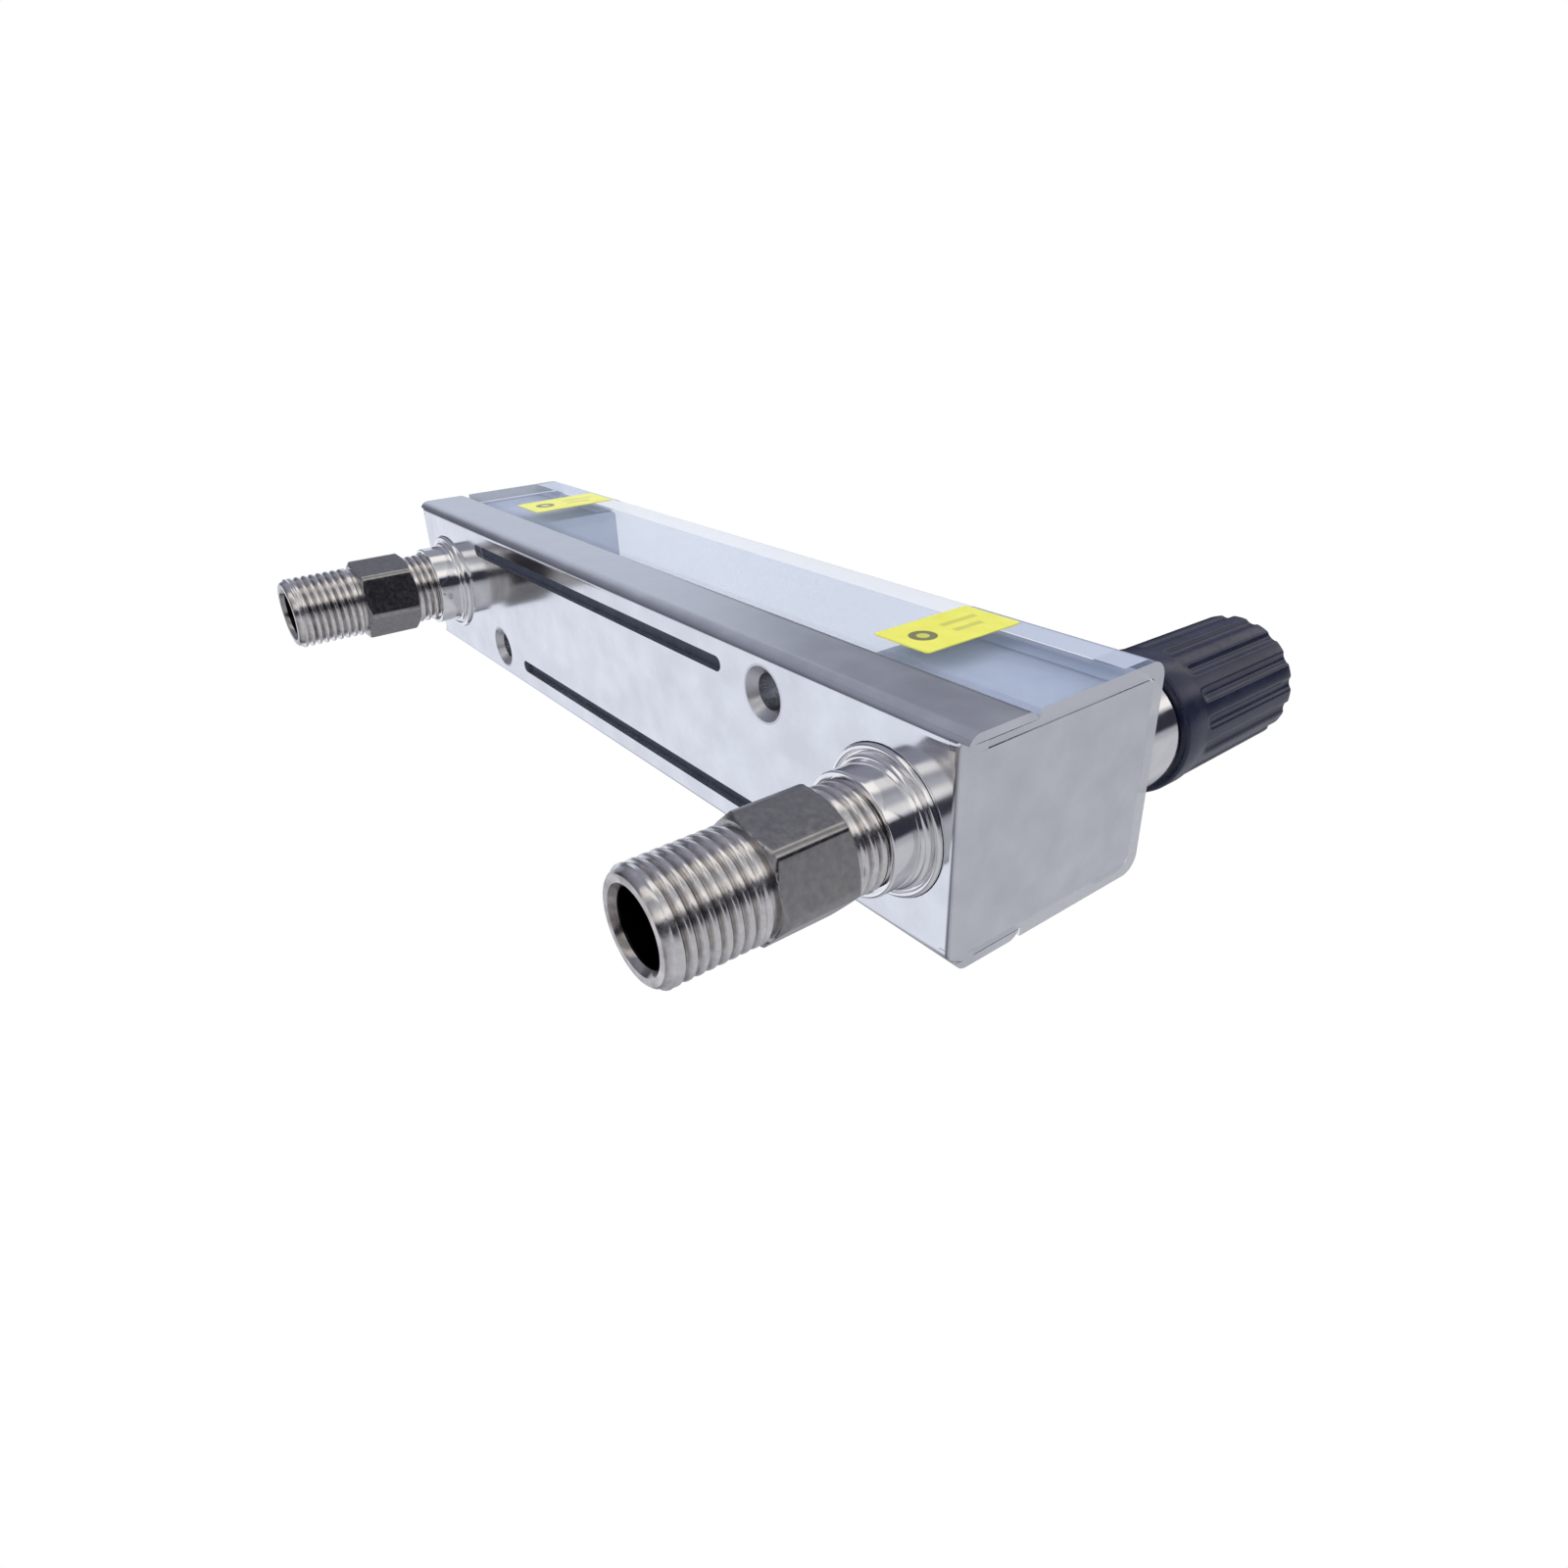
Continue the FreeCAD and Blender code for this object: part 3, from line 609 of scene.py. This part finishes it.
def hexagon_rings():
    """The hexagon between its two chamfers."""
    edge = mm(0.1)
    fall = (hex_corner - hex_flat + edge) * math.tan(math.radians(30))
    steps = 5
    growth = hex_corner - hex_flat + edge
    rings = []
    for i in range(steps + 1):
        rings.append((hex_start + fall * i / steps, hex_radius(hex_flat - edge + growth * i / steps)))
    mirrored = [(hex_start + hex_end - y, radius) for y, radius in reversed(rings)]
    return rings + mirrored


def nipple(name, node, turn):
    root = crest - thread_depth
    lead = mm(0.5)
    rings = [(inner_end, bore), (inner_end, root - lead), (inner_end + lead, root)]
    rings += threaded_stretch(socket_end - mm(1.0), hex_start)
    rings += hexagon_rings()
    rings += [(hex_end, crest - mm(0.45)), (hex_end + mm(0.7), crest - mm(0.45))]
    rings += threaded_stretch(hex_end + mm(1.0), tip - mm(1.0))
    rings += [(tip - mm(0.7), crest - mm(0.35)), (tip - mm(0.25), crest - mm(0.5)), (tip, crest - mm(0.75))]
    rings += [(tip, bore + mm(0.75)), (tip - mm(0.55), bore + mm(0.15)), (tip - mm(1.0), bore)]
    piece = ring_skin(name, rings, 144, middle(node).z, -hex_turn + turn)
    shade(piece, 40)
    piece.data.materials.append(nipple_steel(name + "_steel", middle(node).z, 1.0))
    # The hexagon's darker copy of the steel is painted shade.
    piece.data.materials.append(nipple_steel(name + "_hexagon_shaded_steel", middle(node).z, 0.46))
    for polygon in piece.data.polygons:
        polygon.material_index = 1 if hex_start < polygon.center.y < hex_end else 0
    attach(piece, "root")
    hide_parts(node)
    print(name, "faces", len(piece.data.polygons))
    return piece


nipples = [
    nipple("threaded_inlet_nipple", "inlet_nipple", 0.0),
    nipple("threaded_outlet_nipple", "outlet_nipple", math.pi),
]

# %% [markdown]
# ## Polished sockets and their washers
# Each nipple screws into a turned and polished socket.  The solids have its steps with sharp corners.
# Light runs along every rounded corner of such a part as a thin bright line, so the finer sockets and
# washers get rounded shoulders, and the mouth a dark slit where the sealing tape ends.

# %% Rounded corners on a turned profile


def arc(y, radius, size, start, end, steps=6):
    """Points of a rounded corner round a centre at (y, radius), from start to end in degrees."""
    points = []
    for i in range(steps + 1):
        a = math.radians(start + (end - start) * i / steps)
        points.append((y + size * math.sin(a), radius + size * math.cos(a)))
    return points


def polished_ring(name, node, rings):
    piece = ring_skin(name, rings, 96, middle(node).z)
    shade(piece, 30)
    piece.data.materials.append(polished_steel)
    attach(piece, "root")
    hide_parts(node)
    return piece


# %% Build the sockets and washers
shank_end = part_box("inlet_socket")[0].y
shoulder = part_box("inlet_washer")[1].y
ring_radius = mm(8.2)
neck_radius = mm(7.5)
plate_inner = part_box("inlet_washer")[0].y
shank_radius = mm(6.5)
washer_radius = mm(9.3)
for port in ("inlet", "outlet"):
    profile = [(shank_end, mm(3.5)), (shank_end, shank_radius), (shoulder, shank_radius)]
    profile += [(shoulder, ring_radius - mm(0.1))]
    profile += arc(shoulder + mm(0.5), ring_radius - mm(0.5), mm(0.5), -90 + 20, 90, 8)[1:]
    profile += [(shoulder + mm(1.15), neck_radius + mm(0.12)), (shoulder + mm(1.35), neck_radius)]
    profile += arc(socket_end - mm(0.3), neck_radius - mm(0.3), mm(0.3), 0, 90, 5)
    profile += [(socket_end, mm(6.95)), (socket_end - mm(1.0), mm(6.9)), (socket_end - mm(1.0), crest)]
    profile += [(inner_end - mm(0.1), crest), (inner_end - mm(0.1), mm(3.5))]
    polished_ring("rounded_" + port + "_socket", port + "_socket", profile)
    bead = washer_radius - mm(0.45)
    profile = [(plate_inner, shank_radius + mm(0.1)), (plate_inner, washer_radius)]
    profile += [(shoulder, washer_radius)] + arc(shoulder, bead, mm(0.45), 15, 165, 10)
    profile += [(shoulder - mm(0.02), shank_radius + mm(0.1))]
    polished_ring("rounded_" + port + "_washer", port + "_washer", profile)
print("socket mouth at y in mm", round(socket_end * 1000, 2))

# %% [markdown]
# ## Closed corners of the frame
# A folded blank has small notches where two folds meet.  On the real frame they are welded shut and dressed
# flush.  Each filling follows the end fold's curve from side to side, and bows to the side fold's curve at
# its outer edge, so that it carries both bends on.

# %% Corner fillings
sheet = mm(1.1)
fold_radius = mm(1.8)
inner_radius = fold_radius - sheet
notch_start = mm(12.32)
notch_width = mm(1.06)
notch_depth = mm(1.05)
notch_top = mm(2.58)


def corner_filling(name, side, foot):
    """Fills the notch between end fold and side fold.  side is -1 or 1, foot tells which end."""
    half_width = cad_high.x
    rear = plate_inner + sheet
    corner = rear - fold_radius
    outer = [(corner - notch_depth, 0.0)]
    inner = [(corner - notch_depth, sheet)]
    for i in range(9):
        a = math.pi / 2 * i / 8
        outer.append((corner + fold_radius * math.sin(a), fold_radius * (1 - math.cos(a))))
        inner.append((corner + inner_radius * math.sin(a), fold_radius - inner_radius * math.cos(a)))
    outer.append((rear, notch_top))
    inner.append((plate_inner, notch_top))
    outline = outer + inner[::-1]
    points = []
    places = [notch_start + notch_width * i / 6 for i in range(7)]
    for x in places:
        beyond = max(0.0, x - (half_width - fold_radius))
        limit = corner + math.sqrt(fold_radius ** 2 - beyond ** 2)
        for y, up in outline:
            z = cad_low.z + up if foot else cad_high.z - up
            points.append((side * x, min(y, limit), z))
    count = len(outline)
    faces = [tuple(range(count)), tuple(range(6 * count, 7 * count))]
    for i in range(6):
        for j in range(count):
            k = (j + 1) % count
            faces.append((i * count + j, i * count + k, (i + 1) * count + k, (i + 1) * count + j))
    mesh = bpy.data.meshes.new(name)
    mesh.from_pydata(points, [], faces)
    piece = new_piece(name, mesh)
    shade(piece, 40)
    piece.data.materials.append(satin_sheet)
    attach(piece, "root")


for end, foot in (("low", True), ("high", False)):
    for word, side in (("left", -1), ("right", 1)):
        corner_filling("corner_filling_" + end + "_" + word, side, foot)

# %% [markdown]
# ## Dark strips of painted shade behind the slots
# The two long slots in the back plate read as dark lines.  What lies behind them isn't known, and a thin
# dark strip is put behind each as painted shade for the slot.  Each strip is a flat bar with round ends.

# %% Slot strips


def flat_strip(name, x, low, high, half_width):
    """A thin bar with round ends behind the back plate, from low to high along the housing."""
    work = bmesh.new()
    y = plate_inner - mm(0.05)
    outline = []
    for i in range(33):
        a = math.pi * i / 32
        outline.append((x + half_width * math.cos(a), high - half_width + half_width * math.sin(a)))
    for i in range(33):
        a = math.pi * i / 32
        outline.append((x - half_width * math.cos(a), low + half_width - half_width * math.sin(a)))
    face = work.faces.new([work.verts.new((px, y, pz)) for px, pz in outline])
    grown = bmesh.ops.extrude_face_region(work, geom=[face])
    shift = [v for v in grown["geom"] if isinstance(v, bmesh.types.BMVert)]
    bmesh.ops.translate(work, verts=shift, vec=(0, -mm(0.5), 0))
    bmesh.ops.recalc_face_normals(work, faces=work.faces)
    mesh = bpy.data.meshes.new(name)
    work.to_mesh(mesh)
    work.free()
    piece = new_piece(name, mesh)
    piece.data.materials.append(slot_shade_finish)
    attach(piece, "root")


# Painted shade: a dark blue-black strip stands in for the shade inside each slot.
slot_shade_finish = finish("slot_shade_finish", (0.03, 0.035, 0.06), 0.5)
tint(slot_shade_finish, grain(slot_shade_finish, 1.5), (0.020, 0.025, 0.045), (0.035, 0.042, 0.07))
relief(slot_shade_finish, grain(slot_shade_finish, 0.3), 0.01)
block_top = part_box("inlet_block")[1].z
block_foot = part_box("outlet_block")[0].z
slot_aside = mm(9.6)
strip_half = mm(1.6)
left_foot = mm(42.6)
right_top = mm(113.4)
flat_strip("slot_shade_strip_left", -slot_aside, left_foot, block_foot - mm(0.2), strip_half)
flat_strip("slot_shade_strip_right", slot_aside, block_top + mm(0.2), right_top, strip_half)
print("strips from", round(left_foot * 1000, 1), "and to", round(right_top * 1000, 1), "mm")

# %% [markdown]
# ## Fluted knob
# The knob is moulded in dark blue-black plastic: a smooth skirt, sixteen flutes, and a softened nose.  The
# solid has the same form with sharp edges.  Mouldings never have those, so the finer knob rounds the edge
# of every flute and rim, which is where a glossy knob shows its highlights.

# %% Knob sizes
knob_low, knob_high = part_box("control_knob")
knob_z = middle("control_knob").z
skirt_rear = knob_high.y
nose = knob_low.y
skirt_radius = (knob_high.x - knob_low.x) / 2
grip_radius = skirt_radius - mm(0.2)
nose_radius = grip_radius - mm(0.2)
grip_rear = skirt_rear - mm(5.0)
flutes = 16
flute_radius = mm(1.0)
flute_depth = mm(0.5)
print("knob across in mm", round(skirt_radius * 2000, 2), "flutes", flutes)

# %% Knob radii


def soft_min(a, b, blend):
    """The smaller of two lengths, with the corner between them rounded over about blend."""
    return (a + b - math.sqrt((a - b) ** 2 + blend * blend)) / 2


def fluted(radius, share):
    """Radius of the grip with the flutes cut to a share of their depth."""

    def at(angle):
        off = (angle % (2 * math.pi / flutes) - math.pi / flutes) * radius
        inside = max(0.0, flute_radius ** 2 - off ** 2)
        floor = radius + flute_radius - flute_depth - math.sqrt(inside)
        if inside == 0.0:
            floor = radius + flute_radius
        cut = soft_min(radius, floor, mm(0.12))
        return radius + (cut - radius) * share

    return at


# %% Build the knob


def fluted_knob():
    """Knob skin from the recess behind it, over skirt, grip and nose, to the nose's middle."""
    recess_floor = skirt_rear - mm(4.0)
    bore_end = nose + mm(5.7)
    rings = [(bore_end, mm(0.05)), (bore_end, mm(3.05)), (recess_floor, mm(3.05)), (recess_floor, mm(6.0))]
    rings += [(skirt_rear, mm(6.0))]
    for i in range(6):
        a = math.pi / 2 * i / 5
        rings.append((skirt_rear - mm(0.5) * (1 - math.cos(a)), skirt_radius - mm(0.5) * (1 - math.sin(a))))
    rings.append((grip_rear + mm(2.0), skirt_radius))
    for i in range(9):
        share = i / 8
        eased = share * share * (3 - 2 * share)
        rings.append((grip_rear + mm(0.5) - mm(1.6) * share, fluted(grip_radius, eased)))
    for i in range(1, 13):
        share = i / 12
        radius = grip_radius + (nose_radius - grip_radius) * share
        y = grip_rear - mm(1.1) + (nose + mm(1.0) - grip_rear + mm(1.1)) * share
        rings.append((y, fluted(radius, 1.0)))
    for i in range(1, 7):
        a = math.pi / 2 * i / 6
        radius = nose_radius - mm(1.0) * (1 - math.cos(a))
        rings.append((nose + mm(1.0) * (1 - math.sin(a)), fluted(radius, 1.0 - 0.9 * i / 6)))
    dish = nose + mm(0.25)
    rings += [(nose, nose_radius - mm(2.0)), (dish, nose_radius - mm(2.5)), (dish, mm(0.05))]
    return ring_skin("fluted_knob", rings, 16 * flutes, knob_z)


def drill_screw_way(piece):
    """Cuts the set screw's hole through the grip, in line with the screw's solid."""
    screw = middle("knob_screw")
    way = Vector((screw.x, 0, screw.z - knob_z)).normalized()
    bpy.ops.mesh.primitive_cylinder_add(vertices=32, radius=mm(1.5), depth=mm(12))
    drill = bpy.context.object
    drill.rotation_mode = "QUATERNION"
    drill.rotation_quaternion = way.to_track_quat("Z", "Y")
    drill.location = Vector((0, screw.y, knob_z)) + way * mm(9.1)
    cut = piece.modifiers.new("screw_way", "BOOLEAN")
    cut.operation = "DIFFERENCE"
    cut.object = drill
    cut.solver = "EXACT"
    bpy.context.view_layer.update()
    baked = bpy.data.meshes.new_from_object(piece.evaluated_get(bpy.context.evaluated_depsgraph_get()))
    piece.modifiers.clear()
    piece.data = baked
    bpy.data.objects.remove(drill)


knob = fluted_knob()
shade(knob, 180)
drill_screw_way(knob)
shade(knob, 40)
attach(knob, "knob")
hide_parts("control_knob")
print("knob faces", len(knob.data.polygons))

# %% [markdown]
# ## Knob plastic
# The plastic is dyed through, nearly black with a blue cast, and comes glossy from the mould.  It has a
# faint ripple where the melt flowed, and fine handling haze that widens its highlights.

# %% Knob plastic
knob_plastic = finish("knob_plastic", (0.010, 0.013, 0.032), 0.3)
knob_plastic.node_tree.nodes["Principled BSDF"].inputs["IOR"].default_value = 1.5
tint(knob_plastic, grain(knob_plastic, 4.0), (0.006, 0.009, 0.026), (0.013, 0.016, 0.040))
gloss(knob_plastic, grain(knob_plastic, 1.2), 0.2, 0.3)
relief(knob_plastic, grain(knob_plastic, 0.4), 0.004)
knob.data.materials.append(knob_plastic)
print("knob_plastic nodes", len(knob_plastic.node_tree.nodes))

# %% [markdown]
# ## Graduations on the tube
# The scale of such a meter is fired onto the front of its glass tube: a long line with a number at each
# tenth, and shorter lines between.  Each line is a thin strip bent round the tube.  The numbers are flat
# letters from the built-in font, bent round in the same way.

# %% Tube sizes and the wrap
tube_radius = (tube_high.x - tube_low.x) / 2
scale_radius = tube_radius + mm(0.03)
scale_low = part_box("flow_float")[1].z + mm(2.0)
scale_high = tube_high.z - mm(22.0)
print("tube across in mm", round(tube_radius * 2000, 2))


def on_tube(across, up, lift=0.0):
    """A point on the tube's front, across mm to the side and up along it."""
    angle = across / tube_radius
    r = scale_radius + lift
    return (r * math.sin(angle), -r * math.cos(angle), up)


# %% Lines of the scale


def scale_line(work, left, right, height, width):
    """One strip bent round the tube, as thick as fired enamel."""
    steps = max(2, round((right - left) / mm(0.35)))
    rims = []
    for up in (height - width / 2, height + width / 2):
        for lift in (0.0, mm(0.02)):
            places = [left + (right - left) * i / steps for i in range(steps + 1)]
            rims.append([work.verts.new(on_tube(place, up, lift)) for place in places])
    low_in, low_out, high_in, high_out = rims
    loops = ((low_in, low_out), (low_out, high_out), (high_out, high_in), (high_in, low_in))
    for one, two in loops:
        for i in range(steps):
            work.faces.new((one[i], one[i + 1], two[i + 1], two[i]))
    for i in (0, steps):
        work.faces.new((low_in[i], low_out[i], high_out[i], high_in[i]))


scale_mesh = bpy.data.meshes.new("tube_scale_lines")
work = bmesh.new()
divisions = 50
for i in range(divisions + 1):
    height = scale_low + (scale_high - scale_low) * i / divisions
    reach = mm(2.2) if i % 5 == 0 else mm(1.2)
    scale_line(work, -mm(3.2), -mm(3.2) + reach, height, mm(0.22))
scale_line(work, -mm(3.3), -mm(3.1), (scale_low + scale_high) / 2, scale_high - scale_low)
bmesh.ops.recalc_face_normals(work, faces=work.faces)
work.to_mesh(scale_mesh)
work.free()
scale_lines = new_piece("tube_scale_lines", scale_mesh)
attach(scale_lines, "root")
print("scale from", round(scale_low * 1000, 1), "to", round(scale_high * 1000, 1), "mm")

# %% Numbers of the scale


def scale_number(text, height):
    """A number bent round the tube beside its line."""
    curve = bpy.data.curves.new("number_" + text, "FONT")
    curve.body = text
    curve.size = mm(2.6)
    curve.align_y = "CENTER"
    curve.extrude = mm(0.01)
    lettering = bpy.data.objects.new("number_" + text, curve)
    bpy.context.scene.collection.objects.link(lettering)
    bpy.context.view_layer.update()
    mesh = bpy.data.meshes.new_from_object(lettering)
    bpy.data.objects.remove(lettering)
    for vertex in mesh.vertices:
        across, up, lift = vertex.co
        vertex.co = on_tube(across - mm(0.4), height + up, lift + mm(0.01))
    return mesh


numbers = bmesh.new()
for i in range(1, 11):
    part = scale_number(str(i), scale_low + (scale_high - scale_low) * i / 10)
    numbers.from_mesh(part)
number_mesh = bpy.data.meshes.new("tube_scale_numbers")
numbers.to_mesh(number_mesh)
numbers.free()
scale_numbers = new_piece("tube_scale_numbers", number_mesh)
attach(scale_numbers, "root")

enamel = finish("scale_enamel", (0.03, 0.03, 0.035), 0.35)
tint(enamel, grain(enamel, 0.4), (0.02, 0.02, 0.025), (0.05, 0.05, 0.055))
for piece in (scale_lines, scale_numbers):
    piece.data.materials.clear()
    piece.data.materials.append(enamel)
print("number faces", len(number_mesh.polygons))

# %% [markdown]
# ## Floor
# The part stands on its lower end plate, and one view looks at that plate from below.  The floor is
# therefore one-sided: it is pale paper from above and clear from below.  It keeps out of the light that
# reaches the part, and still takes the part's shadow.

# %% One-sided floor
floor_mesh = bpy.data.meshes.new("floor")
floor_half = 3.0
corners = [(floor_half * x, floor_half * y, 0) for x, y in ((-1, -1), (1, -1), (1, 1), (-1, 1))]
floor_mesh.from_pydata(corners, [], [(0, 1, 2, 3)])
floor = new_piece("floor", floor_mesh)
floor.location.z = -mm(0.4)
floor.visible_shadow = False
floor.visible_diffuse = False
floor.visible_glossy = False

paper = finish("floor_paper", (0.86, 0.86, 0.87), 0.8)
tree, shader = parts_of(paper)
tint(paper, grain(paper, 30.0), (0.85, 0.85, 0.86), (0.88, 0.88, 0.89))
side = tree.nodes.new("ShaderNodeNewGeometry")
clear_side = tree.nodes.new("ShaderNodeBsdfTransparent")
two_sides = tree.nodes.new("ShaderNodeMixShader")
tree.links.new(side.outputs["Backfacing"], two_sides.inputs["Fac"])
tree.links.new(shader.outputs["BSDF"], two_sides.inputs[1])
tree.links.new(clear_side.outputs["BSDF"], two_sides.inputs[2])
tree.links.new(two_sides.outputs["Shader"], tree.nodes["Material Output"].inputs["Surface"])
floor_mesh.materials.append(paper)
print("floor across in m", floor_half * 2)

# %% [markdown]
# ## World
# The background is white to the camera, and bright metal needs something to mirror.  A small part in a
# studio mirrors a few large things: the white table, the lamp above, the dark room behind the viewer and
# the dark room behind the part.  The world gives these to mirrored rays alone, as brightness along the
# angle round the pipe axis, so that a polished round turns them into long stripes.  It has three versions:
# low down, level with the plates, and towards the pipe side, where one white panel faces the back plate.

# %% Studio world helpers
world = bpy.data.worlds.new("studio")
bpy.context.scene.world = world
world.use_nodes = True
sky = world.node_tree
for node in list(sky.nodes):
    sky.nodes.remove(node)


def toward(direction):
    """How closely a ray points along a direction, from -1 to 1."""
    place = sky.nodes.new("ShaderNodeTexCoord")
    dot = sky.nodes.new("ShaderNodeVectorMath")
    dot.operation = "DOT_PRODUCT"
    dot.inputs[1].default_value = Vector(direction).normalized()
    sky.links.new(place.outputs["Generated"], dot.inputs[0])
    return dot.outputs["Value"]


def shades(value, low, high, stops):
    """Colour along a value from low to high, by (place, colour) stops."""
    move = sky.nodes.new("ShaderNodeMapRange")
    move.inputs["From Min"].default_value = low
    move.inputs["From Max"].default_value = high
    sky.links.new(value, move.inputs["Value"])
    ramp = sky.nodes.new("ShaderNodeValToRGB")
    ramp.color_ramp.interpolation = "EASE"
    elements = ramp.color_ramp.elements
    while len(elements) < len(stops):
        elements.new(0.5)
    for element, (place, colour) in zip(elements, stops):
        element.position = (place - low) / (high - low)
        element.color = (*colour, 1)
    sky.links.new(move.outputs["Result"], ramp.inputs["Fac"])
    return ramp.outputs["Color"]


def angle_round(start, side):
    """Angle in degrees round the pipe axis, 0 along start and 90 along side, from -180 to 180."""
    turn = sky.nodes.new("ShaderNodeMath")
    turn.operation = "ARCTAN2"
    sky.links.new(toward(side), turn.inputs[0])
    sky.links.new(toward(start), turn.inputs[1])
    degrees = sky.nodes.new("ShaderNodeMath")
    degrees.operation = "DEGREES"
    sky.links.new(turn.outputs[0], degrees.inputs[0])
    return degrees.outputs[0]


def blend(share, one, two):
    """One colour turning into another along a share."""
    mix = sky.nodes.new("ShaderNodeMix")
    mix.data_type = "RGBA"
    sky.links.new(share, mix.inputs["Factor"])
    sky.links.new(one, mix.inputs["A"])
    sky.links.new(two, mix.inputs["B"])
    return mix.outputs["Result"]


def light(colour, strength):
    """A background shader from a colour socket or a plain colour."""
    shader = sky.nodes.new("ShaderNodeBackground")
    shader.inputs["Strength"].default_value = strength
    if isinstance(colour, tuple):
        shader.inputs["Color"].default_value = (*colour, 1)
    else:
        sky.links.new(colour, shader.inputs["Color"])
    return shader.outputs["Background"]


def choose(share, one, two):
    mix = sky.nodes.new("ShaderNodeMixShader")
    sky.links.new(share, mix.inputs["Fac"])
    sky.links.new(one, mix.inputs[1])
    sky.links.new(two, mix.inputs[2])
    return mix.outputs["Shader"]


# %% Join the world's parts
black = (0.03, 0.03, 0.045)
slate = (0.30, 0.31, 0.38)
shade_grey = (0.12, 0.125, 0.16)
grey = (0.40, 0.41, 0.45)
silver = (0.53, 0.54, 0.58)
bright = (1.0, 0.98, 0.96)
away = (0.5476, 0.0, 0.8367)
upward = (-0.8367, 0.0, 0.5476)
sky_blue = (0.66, 0.71, 0.82)
plate_white = (0.88, 0.91, 1.0)
from_low = ((-180, silver), (-176, black), (-152, black), (-143, grey), (-130, silver), (-70, silver),
            (-45, grey))
to_high = ((69, slate), (102, slate), (108, bright), (122, bright), (134, grey), (152, silver), (166, bright),
           (174, bright), (180, silver))
dark_gap = ((-20, black), (25, black), (50, shade_grey))
pale_gap = ((-20, grey), (20, sky_blue), (60, sky_blue))
white_gap = ((-26, shade_grey), (-18, plate_white), (26, plate_white), (34, shade_grey))
round_angle = angle_round(away, upward)
low_side = shades(round_angle, -180, 180, from_low + dark_gap + to_high)
flat_side = shades(round_angle, -180, 180, from_low + pale_gap + to_high)
pipe_side = shades(round_angle, -180, 180, from_low + white_gap + to_high)
rise = toward((0, 1, 0))
none, whole = (0, 0, 0), (1, 1, 1)
first = shades(rise, -1, 1, ((-1, none), (-0.65, none), (-0.50, whole), (1, whole)))
second = shades(rise, -1, 1, ((-1, none), (-0.1, none), (0.2, whole), (1, whole)))
seen_in_metal = light(blend(second, blend(first, low_side, flat_side), pipe_side), 1.0)
soft_light = light((0.97, 0.98, 1.0), 0.75)
white = light((1.0, 1.0, 1.0), 1.0)
ray = sky.nodes.new("ShaderNodeLightPath")
lit = choose(ray.outputs["Is Glossy Ray"], soft_light, seen_in_metal)
lit = choose(ray.outputs["Is Transmission Ray"], lit, white)
lit = choose(ray.outputs["Is Camera Ray"], lit, white)
world_output = sky.nodes.new("ShaderNodeOutputWorld")
sky.links.new(lit, world_output.inputs["Surface"])
print("world nodes", len(sky.nodes))

# %% [markdown]
# ## Lamps
# Three soft boxes shape the part: a broad one over the pipe side, one from the front, and a small one from
# below that lifts the end plate.  They stay weak, because the world already lights everything evenly, and
# metal doesn't mirror them, because small lamps would show in it as hard blotches.

# %% Soft boxes
centre = (cad_low + cad_high) / 2


def soft_box(name, place, size, power):
    lamp = bpy.data.lights.new(name, "AREA")
    lamp.shape = "RECTANGLE"
    lamp.size, lamp.size_y = size
    lamp.energy = power
    box = bpy.data.objects.new(name, lamp)
    box.location = Vector(place)
    box.rotation_mode = "QUATERNION"
    box.rotation_quaternion = (centre - box.location).to_track_quat("-Z", "Y")
    box.visible_glossy = False
    bpy.context.scene.collection.objects.link(box)
    return box


soft_box("pipe_side_box", (-0.35, 0.45, 0.35), (0.35, 0.35), 2.2)
soft_box("front_box", (-0.25, -0.55, 0.25), (0.4, 0.25), 2.0)
soft_box("low_box", (-0.3, -0.1, -0.45), (0.25, 0.25), 1.0)
print("soft boxes", len(bpy.data.lights))

# %% [markdown]
# ## Camera
# The part is shown lying down, with its foot and pipe side towards the viewer.  The camera is close and
# wide, which makes the near nipple large.  It is set by its place, the point it looks at, and a small roll
# from the line where the part's left side points up.

# %% Camera
lens_mm = 22.5
sensor_mm = 36.0
eye = Vector((-0.0556, 0.0826, -0.0585))
aim = eye + Vector((0.4655, -0.527, 0.711)) * 0.15
roll = math.radians(-2.1)
ahead = (aim - eye).normalized()
down = Vector((1, 0, 0))
down = (down - down.dot(ahead) * ahead).normalized()
right = down.cross(ahead)
down, right = (down * math.cos(roll) + right * math.sin(roll), right * math.cos(roll) - down * math.sin(roll))
camera_data = bpy.data.cameras.new("camera")
camera_data.lens = lens_mm
camera_data.sensor_width = sensor_mm
camera_data.clip_start = 0.005
camera = bpy.data.objects.new("camera", camera_data)
camera.matrix_world = Matrix.Translation(eye) @ Matrix((right, -down, -ahead)).transposed().to_4x4()
bpy.context.scene.collection.objects.link(camera)
bpy.context.scene.camera = camera
bpy.context.scene.view_settings.view_transform = "Standard"
print("camera to the part's middle in mm", round((centre - eye).length * 1000))

# %% [markdown]
# ## Size of the solids
# The dressed part must keep the size of the solids, whose box is printed here.

# %% Sizes and the last call
print("solids in mm", [round(v * 1000, 2) for v in cad_high - cad_low])
